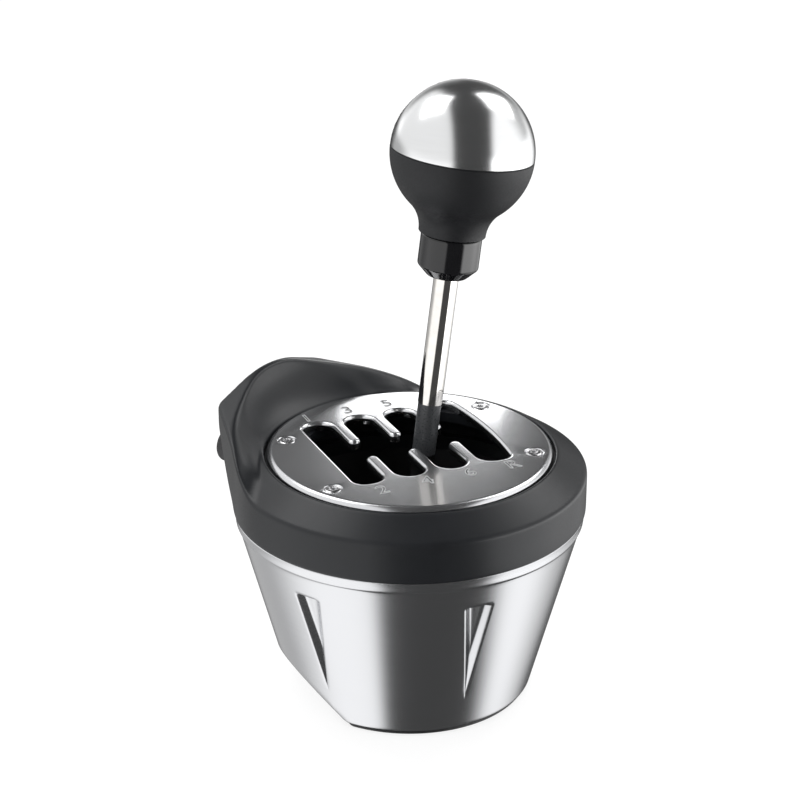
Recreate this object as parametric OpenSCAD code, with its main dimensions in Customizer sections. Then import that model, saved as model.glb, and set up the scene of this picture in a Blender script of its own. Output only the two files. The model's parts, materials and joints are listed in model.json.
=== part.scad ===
// H-pattern gear shifter with a gimballed lever, a round gate plate and a conical metal body.
// Origin at the centre of the base, +Z up, +Y the way the lever moves into the odd gears.

/* [Gate plate] */
// Diameter of the gate plate
plate_d = 109; // [104:0.5:114]
// Thickness of the gate plate
plate_t = 3.4; // [3:0.1:4]
// Radius that rounds the plate's rim
plate_edge_r = 2.4; // [1:0.1:2.6]
// Distance of the gate's neutral line forward of the body axis
gate_y = 5; // [2:0.5:7]
// Distance between neighbouring gear columns
column_pitch = 17; // [16:0.25:18]
// Width of the fingers between the slots
finger_w = 5; // [4:0.25:5.5]
// Distance from the neutral line to the end of a slot
slot_reach = 29.5; // [29:0.25:31]
// Width of the neutral channel
channel_w = 14; // [13:0.25:16]
// Outward bow of the reverse column's outer edge
gate_bow = 2.6; // [1:0.1:3.5]
// Radius of the circle of plate screws
plate_screw_circle_r = 47.2; // [45.5:0.1:48.5]
// Diameter of the plate screws' threads
plate_screw_d = 3; // [2.5:0.1:3.5]
// Diameter of the plate screws' heads
plate_screw_head_d = 6.8; // [5.5:0.1:7.4]
// Length of the plate screws
plate_screw_len = 10; // [8:0.5:11]

/* [Collar] */
// How far the collar stands out beyond the top of the cone
collar_overhang = 1.5; // [0.9:0.1:3]
// Wall of the collar
collar_wall = 3; // [2:0.1:4]
// Height of the collar's upright wall
collar_wall_h = 15.9; // [13:0.1:19]
// Height of the collar's bevel
bevel_h = 7; // [5:0.1:9]
// Flat land between the bevel and the plate's pocket
bevel_land = 1; // [0.6:0.1:2]
// Gap round the gate plate
plate_gap = 0.8; // [0.4:0.1:1.2]
// Height of the plate's top above the bevel's upper edge
plate_rise = 1.2; // [0.4:0.1:2]
// Width of the ledge that the plate sits on
seat_w = 13; // [12:0.25:13.5]
// Thickness of the ledge that the plate sits on
seat_t = 4; // [3:0.25:5]
// Depth of the spigot that centres the collar in the shell
spigot_h = 4; // [2:0.25:4.2]
// Wall of the spigot
spigot_wall = 2; // [1.5:0.1:3]

/* [Rear wall of the collar] */
// Turn of the body's clamp side from the gate's forward direction
clamp_turn = 30; // [20:1:35]
// How far the flat rear face stands out beyond the round wall
rear_step = 2.5; // [1.5:0.1:5]
// Angle from the clamp side at which the flat flanks leave the round wall
flank_angle = 51.5; // [46:0.5:56]
// Outward flare of the rear corners, per unit of height
rear_flare = 0.35; // [0.25:0.01:0.5]
// Height of the rear wall's crown above the gate plate
crown_rise = 17.3; // [12:0.1:20]
// Radius of the crown's arch, seen from the rear
crown_r = 50; // [44:0.5:60]
// Half width of the crown's arch, between its straight shoulders
crown_half_w = 16; // [12:0.5:18]
// Angle from the clamp side at which the ends of the rear wall sink into the bevel
tail_angle = 64; // [60:0.5:68]
// Thickness of the rear wall at its crown
crown_wall = 3.2; // [2:0.1:5]
// Radius of the scoop on the rear wall's inner side
scoop_r = 23; // [20:0.5:30]

/* [Metal shell] */
// Diameter of the shell at its base
shell_base_d = 95.2; // [92:0.2:100]
// Diameter of the cone at its top
shell_top_d = 132; // [130:0.5:134]
// Height of the shell
shell_h = 73.2; // [70:0.2:78]
// Wall of the shell
shell_wall = 4; // [3.4:0.1:4.5]
// Height of the lip round the shell's top
lip_h = 4.4; // [3:0.1:7]
// How far the lip stands proud of the cone
lip_proud = 0.8; // [0.4:0.1:1]
// Chamfer on the shell's bottom edge
shell_chamfer = 1.2; // [0.5:0.1:2]
// Angle of the slanted bottom cuts from the clamp side
slant_angle = 60; // [52:1:68]
// How far inside the shell's base the slanted cuts meet the floor
slant_inset = 10.6; // [6.6:0.1:11.6]
// How far the slanted cuts run outward, per unit of height
slant_rate = 0.81; // [0.7:0.01:0.95]
// Height of the upper edge of the V recesses
recess_top_z = 61.3; // [52:0.1:66]
// Height of the lower point of the V recesses
recess_tip_z = 17; // [12:0.5:26]
// Width of the V recesses at their upper edge
recess_w = 11.5; // [8:0.25:15]
// Width of the V recesses' floors at their upper edge
recess_floor_w = 6; // [4:0.25:7]
// Depth of the V recesses' floors
recess_depth = 2.4; // [1.5:0.1:2.8]
// Distance of the base screws from the shell's base edge
base_screw_inset = 8.6; // [7.6:0.1:10]
// Height of the screw bosses inside the shell
shell_boss_h = 12; // [9:0.5:16]

/* [Base] */
// Thickness of the rubber pad under the base
pad_t = 1.5; // [1:0.1:2.5]
// Thickness of the base plate
base_t = 4; // [3:0.25:5]
// Diameter of the base screws' threads
base_screw_d = 4; // [3:0.1:4.4]
// Length of the base screws
base_screw_len = 12; // [9:0.5:14]
// Distance between the threaded inserts
insert_spacing = 48; // [46:0.5:52]
// Core diameter of the inserts' thread
insert_core_d = 5; // [4:0.1:5.5]
// Outer diameter of the inserts
insert_d = 9; // [8:0.25:10]
// Length of the inserts
insert_len = 9; // [6:0.5:11]
// Diameter of the resistance screw
resistance_d = 8; // [6:0.25:9]

/* [Rear sockets and pads] */
// Half width of the window in the shell's rear
window_half_w = 13; // [11.5:0.25:13.5]
// Height of the window's lower edge
window_z0 = 14; // [13:0.25:16]
// Height of the window's upper edge
window_z1 = 31; // [29:0.25:33]
// Gap between the rear panel's lower corners and the shell
panel_gap = 0.4; // [0.2:0.05:0.8]
// Thickness of the rear panel
panel_t = 2.5; // [2:0.1:3]
// Margin of the rear panel round the window
panel_margin = 2; // [1.2:0.1:2.2]
// Distance of the main board behind the rear panel
board_setback = 5.5; // [5:0.25:8]
// Side of the square signal socket's body
usb_w = 8.4; // [7:0.1:9]
// Diameter of the round pedal socket's body
din_d = 10.4; // [9:0.1:11]
// Distance of the sockets' centres from the panel's middle
socket_x = 6.4; // [5.8:0.1:6.8]
// Half width of the upper desk pad
upper_pad_half_w = 25; // [20:0.5:27]
// How far the upper desk pad stands out from the rear face
upper_pad_proud = 4; // [2.5:0.1:5]
// Height of the upper desk pad's middle above that of the collar's wall
upper_pad_lift = 5.3; // [4:0.1:6]
// Height of the upper desk pad
upper_pad_h = 14; // [8:0.5:15]
// Half width of the lower desk pad
lower_pad_half_w = 19.5; // [15:0.5:23]
// How far the lower desk pad stands out from the cone at its middle
lower_pad_proud = 1.7; // [1.2:0.1:3.5]
// Height of the lower desk pad
lower_pad_h = 9; // [6:0.5:10]
// Middle height of the lower desk pad, as a share of the shell's height
lower_pad_share = 0.546; // [0.52:0.002:0.64]

/* [Lever] */
// Height of the gimbal's centre above the floor
pivot_z = 31; // [30:0.5:34]
// Diameter of the chrome rod
rod_d = 9.4; // [9:0.1:9.8]
// Length of the chrome rod that shows
rod_show = 50.7; // [40:0.1:60]
// Diameter of the rod's neck inside the sleeve
rod_neck_d = 6.4; // [5.6:0.1:6.8]
// Outer diameter of the sleeve and of the hub's shank
sleeve_d = 9; // [8.4:0.1:9.1]
// Length of the sleeve
sleeve_len = 20.7; // [18:0.25:24]
// How far the sleeve reaches below the plate's top
sleeve_below = 6.2; // [4.6:0.1:8]
// Depth of the rod's neck in the hub's shank
neck_depth = 17; // [10:0.5:22]
// Width of the lever hub between the thrust washers
hub_w = 18; // [16:0.25:18.4]
// Depth of the lever hub, front to back
hub_depth = 14; // [12.5:0.25:15]
// Height of the hub block above the pivot
hub_up = 9; // [7:0.25:12]
// Length of the hub block below the pivot
hub_down = 14; // [13:0.25:14.5]

/* [Knob] */
// Diameter of the knob's ball
ball_d = 53.6; // [46:0.2:58]
// Drop from the ball's centre to the bottom of the grip's neck
neck_drop = 30.7; // [28:0.1:34]
// Diameter of the grip's neck
grip_neck_d = 25.2; // [23.5:0.1:28]
// Seam between the knob's cap and grip
knob_seam = 0.4; // [0.2:0.05:0.8]
// Wall of the knob's cap
cap_wall = 2.6; // [2:0.1:4]
// Depth of the cap's spigot in the grip
cap_spigot_h = 5; // [3:0.25:6]
// Diameter of the ferrule
ferrule_d = 23; // [19:0.1:24]
// Height of the ferrule
ferrule_h = 16.7; // [12:0.1:22]
// Chamfer round the ferrule's lower end
ferrule_chamfer = 4; // [2:0.1:4.5]
// Diameter of the threaded insert in the knob
knob_insert_d = 16; // [13:0.25:18]
// Length of the threaded insert in the knob
knob_insert_len = 24; // [18:0.5:26]
// Depth of the rod in the threaded insert
rod_in_insert = 20; // [14:0.5:22]

/* [Gimbal] */
// Outer width of the yoke
yoke_w = 32; // [30:0.5:34]
// Outer depth of the yoke along the select axle
yoke_depth = 32; // [30:0.5:34]
// Wall of the yoke
yoke_wall = 5; // [4:0.25:5.2]
// Height of the yoke
yoke_h = 12; // [10:0.5:13]
// Diameter of the select axle's stubs
axle_d = 8; // [6.5:0.25:9]
// Diameter of the shift pin
shift_pin_d = 6; // [5:0.25:6.5]
// Wall of the hub's bush
hub_bush_wall = 1.5; // [1:0.1:1.9]
// Wall of the axle bushes
axle_bush_wall = 2; // [1.5:0.1:3]
// Thickness of the axle bushes' flanges
bush_flange_t = 2.3; // [1.5:0.1:3]
// Width of the flange beyond the axle bushes' walls
bush_flange_w = 1.5; // [1:0.1:2]
// Thickness of the chassis uprights
upright_t = 5; // [4:0.25:6]
// Half width of the chassis uprights
upright_half_w = 12; // [11:0.25:13]
// Thickness of the chassis floor
floor_t = 3; // [2:0.1:3.2]
// Half width of the chassis floor
floor_half_w = 16; // [15.5:0.25:17]
// Distance of the chassis screws from the floor's side edges
chassis_screw_inset = 3.2; // [3:0.1:3.6]
// Distance of the chassis screws from the select axle's middle
chassis_screw_y = 12; // [11:0.25:13]
// Diameter of the sensor board's posts
sensor_post_d = 5; // [4:0.1:5.5]
// Diameter of the chassis screws' threads
chassis_screw_d = 3; // [2.5:0.1:3.5]
// Thickness of the sensor magnet
magnet_t = 2; // [1:0.1:3]
// Thickness of the circuit boards
board_t = 1.6; // [1:0.1:2]
// Gap between the sensor magnet and the sensor chip
sensor_gap = 0.6; // [0.4:0.1:1]
// Thickness of the sensor chip
chip_t = 0.9; // [0.6:0.1:1.2]

/* [Detent] */
// Distance of the plunger's tip from the gimbal's centre
plunger_reach = 20; // [19:0.1:20.4]
// Diameter of the plunger
plunger_d = 6; // [5:0.1:6.6]
// Length of the plunger inside the hub
plunger_in_hub = 3.6; // [3:0.1:4]
// Gap between the plunger's tip and the detent plate
detent_gap = 0.3; // [0.2:0.05:0.6]
// Half angle of the detent plate's dish
dish_angle = 36; // [32:1:39]
// Width of the detent plate's rim beyond the dish
dish_rim = 1.3; // [0.8:0.1:1.6]
// Wire diameter of the plunger spring
spring_wire_d = 0.7; // [0.5:0.05:0.8]
// Number of turns of the plunger spring
spring_turns = 3.5; // [2:0.5:3.5]

/* [Fits] */
// Radial clearance of a shaft that turns or slides
running_fit = 0.05; // [0.03:0.01:0.1]
// Clearance of pieces that are seated on one another
seat_fit = 0.04; // [0.02:0.01:0.1]
// Clearance round pieces that drop into place
drop_fit = 0.3; // [0.1:0.05:0.5]
// End play of the gimbal's washers and bushes
end_play = 0.15; // [0.1:0.05:0.25]

/* [Hidden] */
$fn = 96;
tiny = 0.01;

// Levels of the body, from the floor up
seam_z = pad_t + shell_h;
lip_z = seam_z - lip_h;
rim_z = seam_z + collar_wall_h;
bevel_top_z = rim_z + bevel_h;
plate_top_z = bevel_top_z + plate_rise;
seat_z = plate_top_z - plate_t;
base_top_z = pad_t + base_t;
floor_top_z = base_top_z + floor_t;
crown_z = plate_top_z + crown_rise;

// Radii of the body
plate_r = plate_d / 2;
pocket_r = plate_r + plate_gap;
bevel_top_r = pocket_r + bevel_land;
seat_r = pocket_r - seat_w;
shell_base_r = shell_base_d / 2;
shell_top_r = shell_top_d / 2;
collar_r = shell_top_r + collar_overhang;
rear_d = collar_r + rear_step;
lip_r = shell_top_r + lip_proud;
shell_slope = (shell_top_r - shell_base_r) / (lip_z - pad_t);
base_r = shell_base_r - shell_wall - drop_fit;
base_screw_circle_r = shell_base_r - base_screw_inset;
slant_d = shell_base_r - slant_inset;
slant_wall = shell_wall * sqrt(1 + slant_rate * slant_rate);
function shell_r(z) = shell_base_r + shell_slope * (z - pad_t);

// Rear wall: its ends follow the round wall, flat flanks leave that and meet the flat rear face
wall_sink = 0.25;
wall_r = collar_r - wall_sink;
flank_pt = wall_r * [sin(flank_angle), cos(flank_angle)];
rear_half_w = flank_pt.x - (rear_d - flank_pt.y) / tan(flank_angle);
tail_pts = [for (i = [0 : 5]) let (a = tail_angle + i / 6 * (flank_angle - tail_angle))
    (wall_r - tiny) * [sin(a), cos(a)]];
wall_half_plan = concat(tail_pts, [flank_pt, [rear_half_w, rear_d]]);
shoulder_angle = asin(crown_half_w / crown_r);
function shoulder_z(u) = crown_z - crown_r + crown_r * cos(shoulder_angle)
    - (u - crown_half_w) * tan(shoulder_angle);
tail_slope = (shoulder_z(flank_pt.x) - rim_z) / (flank_pt.y - tail_pts[0].y);
scoop_wall_r = rear_d - crown_wall;
scoop_mid_r = scoop_wall_r - scoop_r;
scoop_mid_z = bevel_top_z - wall_sink + sqrt(scoop_r ^ 2 - (pocket_r - scoop_mid_r) ^ 2);

// Gate
slot_w = column_pitch - finger_w;
columns = [for (i = [-1.5 : 1]) i * column_pitch, 1.5 * column_pitch];
finger_xs = [for (i = [-1 : 1]) i * column_pitch];
gate_edge_x = columns[3] + slot_w / 2;
bow_r = (slot_reach ^ 2 + gate_bow ^ 2) / (2 * gate_bow);
plate_screw_angles = [60, 120, 240, 300];

// Lever, as distances from the gimbal's centre along the lever
plate_mid_z = plate_top_z - plate_t / 2;
rest_lean = atan(columns[2] / (plate_mid_z - pivot_z));
plate_reach = (plate_top_z - pivot_z) / cos(rest_lean);
sleeve_z0 = plate_reach - sleeve_below;
rod_z0 = sleeve_z0 + sleeve_len;
ferrule_z0 = rod_z0 + rod_show;
grip_z0 = ferrule_z0 + ferrule_h;
ball_z = grip_z0 + neck_drop;
ball_r = ball_d / 2;
// The neck's flare is an arc that runs on from the ball and ends upright at the neck
neck_r = grip_neck_d / 2;
flare_r = (neck_r ^ 2 + neck_drop ^ 2 - ball_r ^ 2) / (2 * (ball_r - neck_r));
flare_mid_r = neck_r + flare_r;
flare_start_r = ball_r * flare_mid_r / (ball_r + flare_r);
flare_drop = ball_r * neck_drop / (ball_r + flare_r);

// Gimbal
yoke_gap_w = yoke_w - 2 * yoke_wall;
hub_bush_r = shift_pin_d / 2 + running_fit + hub_bush_wall;
washer_t = (yoke_gap_w - hub_w) / 2 - 2 * end_play;
bush_in_r = axle_d / 2 + running_fit;
bush_out_r = bush_in_r + axle_bush_wall;
upright_y0 = yoke_depth / 2 + end_play + bush_flange_t;
upright_y1 = upright_y0 + upright_t;
axle_end_y = upright_y1 + 0.5;
board_y = axle_end_y + magnet_t + sensor_gap + chip_t;
sensor_post_x = upright_half_w - 3.5;
chassis_screw_pts = [for (x = [-1, 1], y = [-1, 1])
    [x * (floor_half_w - chassis_screw_inset), y * chassis_screw_y]];

// Detent
dish_r = plunger_reach + detent_gap;
dish_rim_r = dish_r * sin(dish_angle) + dish_rim;
dish_top_z = pivot_z - dish_r * cos(dish_angle);
plunger_bore_r = plunger_d / 2 + running_fit;
plunger_top = -hub_down + plunger_in_hub;
spring_seat = -hub_bush_r - 0.7;
spring_r = plunger_d / 2 - spring_wire_d / 2 - 0.35;

// Base
base_screw_angles = [100, 150, 210, 260];
insert_top_z = pad_t + insert_len;
resistance_top_z = floor_top_z - 0.2;
upper_pad_d = rear_d + upper_pad_proud;
lower_pad_z = pad_t + lower_pad_share * shell_h;
lower_pad_d = shell_r(lower_pad_z) + lower_pad_proud;
panel_half_w = window_half_w + panel_margin;
panel_z0 = window_z0 - panel_margin;
panel_z1 = window_z1 + panel_margin;
panel_d = sqrt((shell_r(panel_z0) - shell_wall) ^ 2 - panel_half_w ^ 2) - panel_gap;
socket_z = (window_z0 + window_z1) / 2;
main_board_d = panel_d - panel_t - board_setback;

// Turns the body's own directions, with +Y towards the clamp side, into the part's frame
module in_body() {
    rotate([0, 0, clamp_turn])
        children();
}

// Puts the gimbal's own frame in place, leaning into the column of the fifth and sixth gears
module at_gimbal() {
    translate([0, gate_y, pivot_z])
        rotate([0, rest_lean, 0])
            children();
}

module at_plate_screws() {
    for (a = plate_screw_angles)
        rotate([0, 0, a - 90])
            translate([plate_screw_circle_r, 0, 0])
                children();
}

module at_base_screws() {
    in_body()
        for (a = base_screw_angles)
            rotate([0, 0, 90 + a])
                translate([base_screw_circle_r, 0, 0])
                    children();
}

module at_inserts() {
    for (s = [-1, 1])
        translate([s * insert_spacing / 2, gate_y, 0])
            children();
}

module ring(r_out, r_in, h) {
    difference() {
        cylinder(r = r_out, h = h);
        translate([0, 0, -1])
            cylinder(r = r_in, h = h + 2);
    }
}

module along_y() {
    rotate([-90, 0, 0])
        children();
}

module along_x() {
    rotate([0, 90, 0])
        children();
}

// Gate opening: four slots with round ends, joined by the neutral channel
module gate_outline() {
    difference() {
        union() {
            for (x = columns)
                translate([x, 0])
                    gate_slot();
            translate([-gate_edge_x, -slot_reach])
                square([slot_w / 2, 2 * slot_reach]);
            translate([columns[3], -slot_reach])
                square([slot_w / 2, 2 * slot_reach]);
            intersection() {
                translate([gate_edge_x + gate_bow - bow_r, 0])
                    circle(r = bow_r, $fn = 360);
                translate([columns[3], -slot_reach])
                    square([slot_w, 2 * slot_reach]);
            }
            square([2 * columns[3], channel_w + finger_w], center = true);
        }
        for (x = finger_xs, s = [-1, 1])
            translate([x, s * (channel_w + finger_w) / 2])
                circle(d = finger_w);
    }
}

module gate_slot() {
    square([slot_w, 2 * slot_reach - slot_w], center = true);
    for (s = [-1, 1])
        translate([0, s * (slot_reach - slot_w / 2)])
            circle(d = slot_w);
}

module gate_plate() {
    color("silver")
        difference() {
            translate([0, 0, seat_z])
                rotate_extrude($fn = 180)
                    plate_section();
            translate([0, gate_y, seat_z - 1])
                linear_extrude(plate_t + 2)
                    gate_outline();
            at_plate_screws() {
                translate([0, 0, seat_z - 1])
                    cylinder(d = plate_screw_d + 2 * drop_fit, h = plate_t + 2);
                translate([0, 0, plate_top_z - plate_head_h() - drop_fit])
                    cylinder(d1 = plate_screw_d + 2 * drop_fit, d2 = plate_screw_head_d + 2 * drop_fit,
                        h = plate_head_h() + drop_fit + tiny);
            }
        }
}

function plate_head_h() = (plate_screw_head_d - plate_screw_d) / 2;

module plate_section() {
    square([plate_r - plate_edge_r, plate_t]);
    square([plate_r, plate_t - plate_edge_r]);
    intersection() {
        translate([plate_r - plate_edge_r, plate_t - plate_edge_r])
            circle(r = plate_edge_r);
        square([plate_r, plate_t]);
    }
}

module plate_screws() {
    color("gainsboro")
        at_plate_screws()
            difference() {
                union() {
                    translate([0, 0, plate_top_z - plate_screw_len - drop_fit])
                        cylinder(d = plate_screw_d, h = plate_screw_len);
                    translate([0, 0, plate_top_z - plate_head_h() - drop_fit])
                        cylinder(d1 = plate_screw_d, d2 = plate_screw_head_d, h = plate_head_h());
                }
                translate([0, 0, plate_top_z - 1.6])
                    cylinder(d = plate_screw_d * 0.8, h = 3, $fn = 6);
            }
}

// Outer form of the collar's raised rear wall, before the scoop is cut
module rear_wall_solid() {
    wall_h = crown_z - seam_z;
    last = len(wall_half_plan) - 1;
    in_body()
        intersection() {
            translate([0, 0, seam_z])
                linear_extrude(wall_h + 1)
                    polygon(concat(wall_half_plan,
                        [for (i = [0 : last]) [-wall_half_plan[last - i].x, wall_half_plan[last - i].y]]));
            translate([0, 0, seam_z])
                cylinder(r1 = wall_r, r2 = wall_r + rear_flare * wall_h, h = wall_h);
            translate([0, rear_d + 1, 0])
                rotate([90, 0, 0])
                    linear_extrude(rear_d + 1)
                        crown_section();
            translate([-collar_r, 0, 0])
                rotate([90, 0, 90])
                    linear_extrude(2 * collar_r)
                        tail_section();
        }
}

// Region under the crown's arch and its straight shoulders, seen from the rear
module crown_section() {
    steps = 10;
    polygon(concat([[-collar_r, seam_z - 1], [-collar_r, shoulder_z(collar_r)]],
        [for (i = [-steps : steps]) let (a = shoulder_angle * i / steps)
            [crown_r * sin(a), crown_z - crown_r + crown_r * cos(a)]],
        [[collar_r, shoulder_z(collar_r)], [collar_r, seam_z - 1]]));
}

// Region under the slope by which the ends of the rear wall sink into the bevel, seen from the side
module tail_section() {
    foot_y = tail_pts[0].y - (rim_z - seam_z) / tail_slope;
    far_y = rear_d + 1;
    polygon([[foot_y, seam_z - 1], [foot_y, seam_z], [far_y, seam_z + (far_y - foot_y) * tail_slope],
        [far_y, seam_z - 1]]);
}

// Space that the scoop leaves open inside the rear wall, as a section
module scoop_section() {
    square([pocket_r - wall_sink, crown_z + 1]);
    translate([scoop_mid_r, scoop_mid_z])
        circle(r = scoop_r, $fn = 180);
    translate([0, scoop_mid_z])
        square([scoop_wall_r, crown_z]);
}

module collar_outer() {
    rotate_extrude($fn = 180)
        polygon([[0, seam_z], [collar_r, seam_z], [collar_r, rim_z], [bevel_top_r, bevel_top_z],
            [0, bevel_top_z]]);
    difference() {
        rear_wall_solid();
        rotate_extrude($fn = 180)
            scoop_section();
    }
}

module top_collar() {
    spigot_r = lip_r - shell_wall - drop_fit;
    inner_r = collar_r - collar_wall;
    boss_r = plate_screw_d / 2 + 2.4;
    color("#26272a")
        difference() {
            union() {
                difference() {
                    collar_outer();
                    translate([0, 0, seat_z])
                        cylinder(r = pocket_r, h = plate_t + crown_rise);
                    rotate_extrude($fn = 180)
                        polygon([[0, seam_z - 1], [inner_r, seam_z - 1], [inner_r, rim_z - collar_wall / 2],
                            [pocket_r, seat_z - seat_t], [0, seat_z - seat_t]]);
                    translate([0, 0, seam_z])
                        cylinder(r = seat_r, h = plate_top_z);
                }
                translate([0, 0, seam_z - spigot_h])
                    ring(spigot_r, spigot_r - spigot_wall, spigot_h + spigot_wall);
                translate([0, 0, seam_z])
                    ring(inner_r + tiny, spigot_r - spigot_wall, spigot_wall);
                at_plate_screws()
                    translate([0, 0, plate_top_z - plate_screw_len - 3])
                        cylinder(r = boss_r, h = seat_z - plate_top_z + plate_screw_len + 3);
            }
            at_plate_screws()
                translate([0, 0, plate_top_z - plate_screw_len - 1])
                    cylinder(d = plate_screw_d + 2 * seat_fit, h = plate_screw_len + 2);
        }
}

// Removes the slanted bottom cuts of the body, moved inward by a distance
module slant_cuts(inward) {
    top_z = 40;
    far_d = 2 * collar_r;
    in_body()
        for (s = [-1, 1])
            rotate([0, 0, s * slant_angle])
                translate([-collar_r, 0, 0])
                    rotate([90, 0, 90])
                        linear_extrude(2 * collar_r)
                            polygon([[slant_d - slant_rate - inward, -1],
                                [slant_d + top_z * slant_rate - inward, top_z], [far_d, top_z], [far_d, -1]]);
}

// Outer form of the metal shell
module shell_outer() {
    difference() {
        rotate_extrude($fn = 180)
            polygon([[0, pad_t], [shell_base_r - shell_chamfer, pad_t],
                [shell_r(pad_t + shell_chamfer), pad_t + shell_chamfer], [shell_top_r, lip_z],
                [lip_r, lip_z + lip_proud], [lip_r, seam_z], [0, seam_z]]);
        slant_cuts(0);
        for (a = [90, 150, 210, 270])
            rotate([0, 0, 90 + clamp_turn + a])
                v_recess();
    }
}

// Cutter of one V recess: a groove that leaves the cone at its lower point, with a floor along the cone
module v_recess() {
    spread = 3;
    run_out = 6;
    tip_r = shell_r(recess_tip_z);
    valley_depth = recess_depth * recess_w / (recess_w - recess_floor_w);
    valley_lean = atan((shell_r(recess_top_z) - valley_depth - tip_r) / (recess_top_z - recess_tip_z));
    difference() {
        intersection() {
            translate([tip_r, 0, recess_tip_z])
                rotate([0, valley_lean, 0])
                    translate([0, 0, -run_out])
                        linear_extrude(shell_h)
                            polygon([[0, 0], [spread * valley_depth, spread * recess_w / 2],
                                [spread * valley_depth, -spread * recess_w / 2]]);
            translate([0, -collar_r, 0])
                cube([2 * collar_r, 2 * collar_r, recess_top_z]);
        }
        cylinder(r1 = shell_r(0) - recess_depth, r2 = shell_r(seam_z) - recess_depth, h = seam_z);
    }
}

module shell_inner() {
    difference() {
        rotate_extrude($fn = 180)
            polygon([[0, pad_t - 1], [shell_base_r - shell_wall, pad_t - 1],
                [shell_base_r - shell_wall, pad_t], [shell_top_r - shell_wall, lip_z],
                [lip_r - shell_wall, lip_z + lip_proud], [lip_r - shell_wall, seam_z + 1], [0, seam_z + 1]]);
        slant_cuts(slant_wall);
    }
}

// Cone through the middle of the shell's wall, where the webs of the screw bosses end
module shell_mid() {
    rotate_extrude($fn = 180)
        polygon([[0, pad_t], [shell_base_r - shell_wall / 2, pad_t],
            [shell_top_r - shell_wall / 2, lip_z], [0, lip_z]]);
}

module metal_shell() {
    boss_r = base_screw_d / 2 + 2.2;
    color("#b9bcc0")
        difference() {
            union() {
                difference() {
                    shell_outer();
                    shell_inner();
                }
                intersection() {
                    at_base_screws()
                        translate([0, 0, base_top_z]) {
                            cylinder(r = boss_r, h = shell_boss_h);
                            translate([0, -boss_r / 2, 0])
                                cube([4 * boss_r, boss_r, shell_boss_h]);
                        }
                    shell_mid();
                }
            }
            at_base_screws()
                translate([0, 0, base_top_z - 1])
                    cylinder(d = base_screw_d + 2 * seat_fit, h = base_screw_len);
            in_body()
                translate([-window_half_w, panel_d - panel_t, window_z0])
                    cube([2 * window_half_w, collar_r, window_z1 - window_z0]);
        }
}

// Pad with rounded ends, seen from the rear
module pad_block(half_w, face_d, h) {
    corner_r = h / 2;
    depth = face_d / 3;
    translate([0, face_d, 0])
        rotate([90, 0, 0])
            linear_extrude(depth) {
                square([2 * (half_w - corner_r), h], center = true);
                for (s = [-1, 1])
                    translate([s * (half_w - corner_r), 0])
                        circle(r = corner_r);
            }
}

module upper_desk_pad() {
    pad_z = (seam_z + rim_z) / 2 + upper_pad_lift;
    color("#17181a")
        difference() {
            in_body()
                translate([0, 0, pad_z])
                    pad_block(upper_pad_half_w, upper_pad_d, upper_pad_h);
            rear_wall_solid();
        }
}

module lower_desk_pad() {
    color("#17181a")
        difference() {
            in_body()
                translate([0, 0, lower_pad_z])
                    pad_block(lower_pad_half_w, lower_pad_d, lower_pad_h);
            shell_outer();
        }
}

module socket_places() {
    in_body()
        translate([0, panel_d, socket_z])
            children();
}

module rear_panel() {
    color("#1d1e20")
        difference() {
            in_body()
                translate([-panel_half_w, panel_d - panel_t, panel_z0])
                    cube([2 * panel_half_w, panel_t, panel_z1 - panel_z0]);
            socket_places()
                translate([-socket_x - usb_w / 2 - seat_fit, -panel_t - 1, -usb_w / 2 - seat_fit])
                    cube([usb_w + 2 * seat_fit, panel_t + 2, usb_w + 2 * seat_fit]);
            socket_places()
                translate([socket_x, -panel_t - 1, 0])
                    along_y()
                        cylinder(d = din_d + 2 * seat_fit, h = panel_t + 2);
        }
}

module usb_socket() {
    depth = panel_d - main_board_d;
    wall = 1;
    color("lightsteelblue")
        socket_places()
            translate([-socket_x, -depth, 0])
                difference() {
                    translate([-usb_w / 2, 0, -usb_w / 2])
                        cube([usb_w, depth + 0.6, usb_w]);
                    difference() {
                        translate([-usb_w / 2 + wall, wall, -usb_w / 2 + wall])
                            cube([usb_w - 2 * wall, depth, usb_w - 2 * wall]);
                        translate([-usb_w / 4, 0, -usb_w / 8])
                            cube([usb_w / 2, depth - wall, usb_w / 4]);
                    }
                }
}

module din_socket() {
    depth = panel_d - main_board_d;
    pin_circle_r = din_d / 4;
    color("dimgray")
        socket_places()
            translate([socket_x, -depth, 0])
                along_y()
                    difference() {
                        cylinder(d = din_d, h = depth + 0.6);
                        translate([0, 0, depth - 2.4])
                            ring(din_d / 2 - 0.9, din_d / 2 - 1.7, 4);
                        for (a = [0 : 60 : 300])
                            rotate([0, 0, a])
                                translate([pin_circle_r, 0, depth - 2.4])
                                    cylinder(d = 0.9, h = 4);
                    }
}

module main_board() {
    edge = 1.5;
    color("darkgreen")
        in_body()
            translate([-panel_half_w + edge, main_board_d - board_t, panel_z0 + edge])
                cube([2 * (panel_half_w - edge), board_t, panel_z1 - panel_z0 - 2 * edge]);
}

module base_pad() {
    hole_gap = 1;
    color("#141414")
        difference() {
            cylinder(r = shell_base_r - shell_chamfer, h = pad_t, $fn = 180);
            slant_cuts(0.6);
            at_base_screws()
                translate([0, 0, -1])
                    cylinder(d = base_screw_d * 2 + hole_gap, h = pad_t + 2);
            at_inserts()
                translate([0, 0, -1])
                    cylinder(d = insert_core_d + 2 * hole_gap, h = pad_t + 2);
            translate([0, gate_y, -1])
                cylinder(d = resistance_d, h = pad_t + 2);
        }
}

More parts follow.
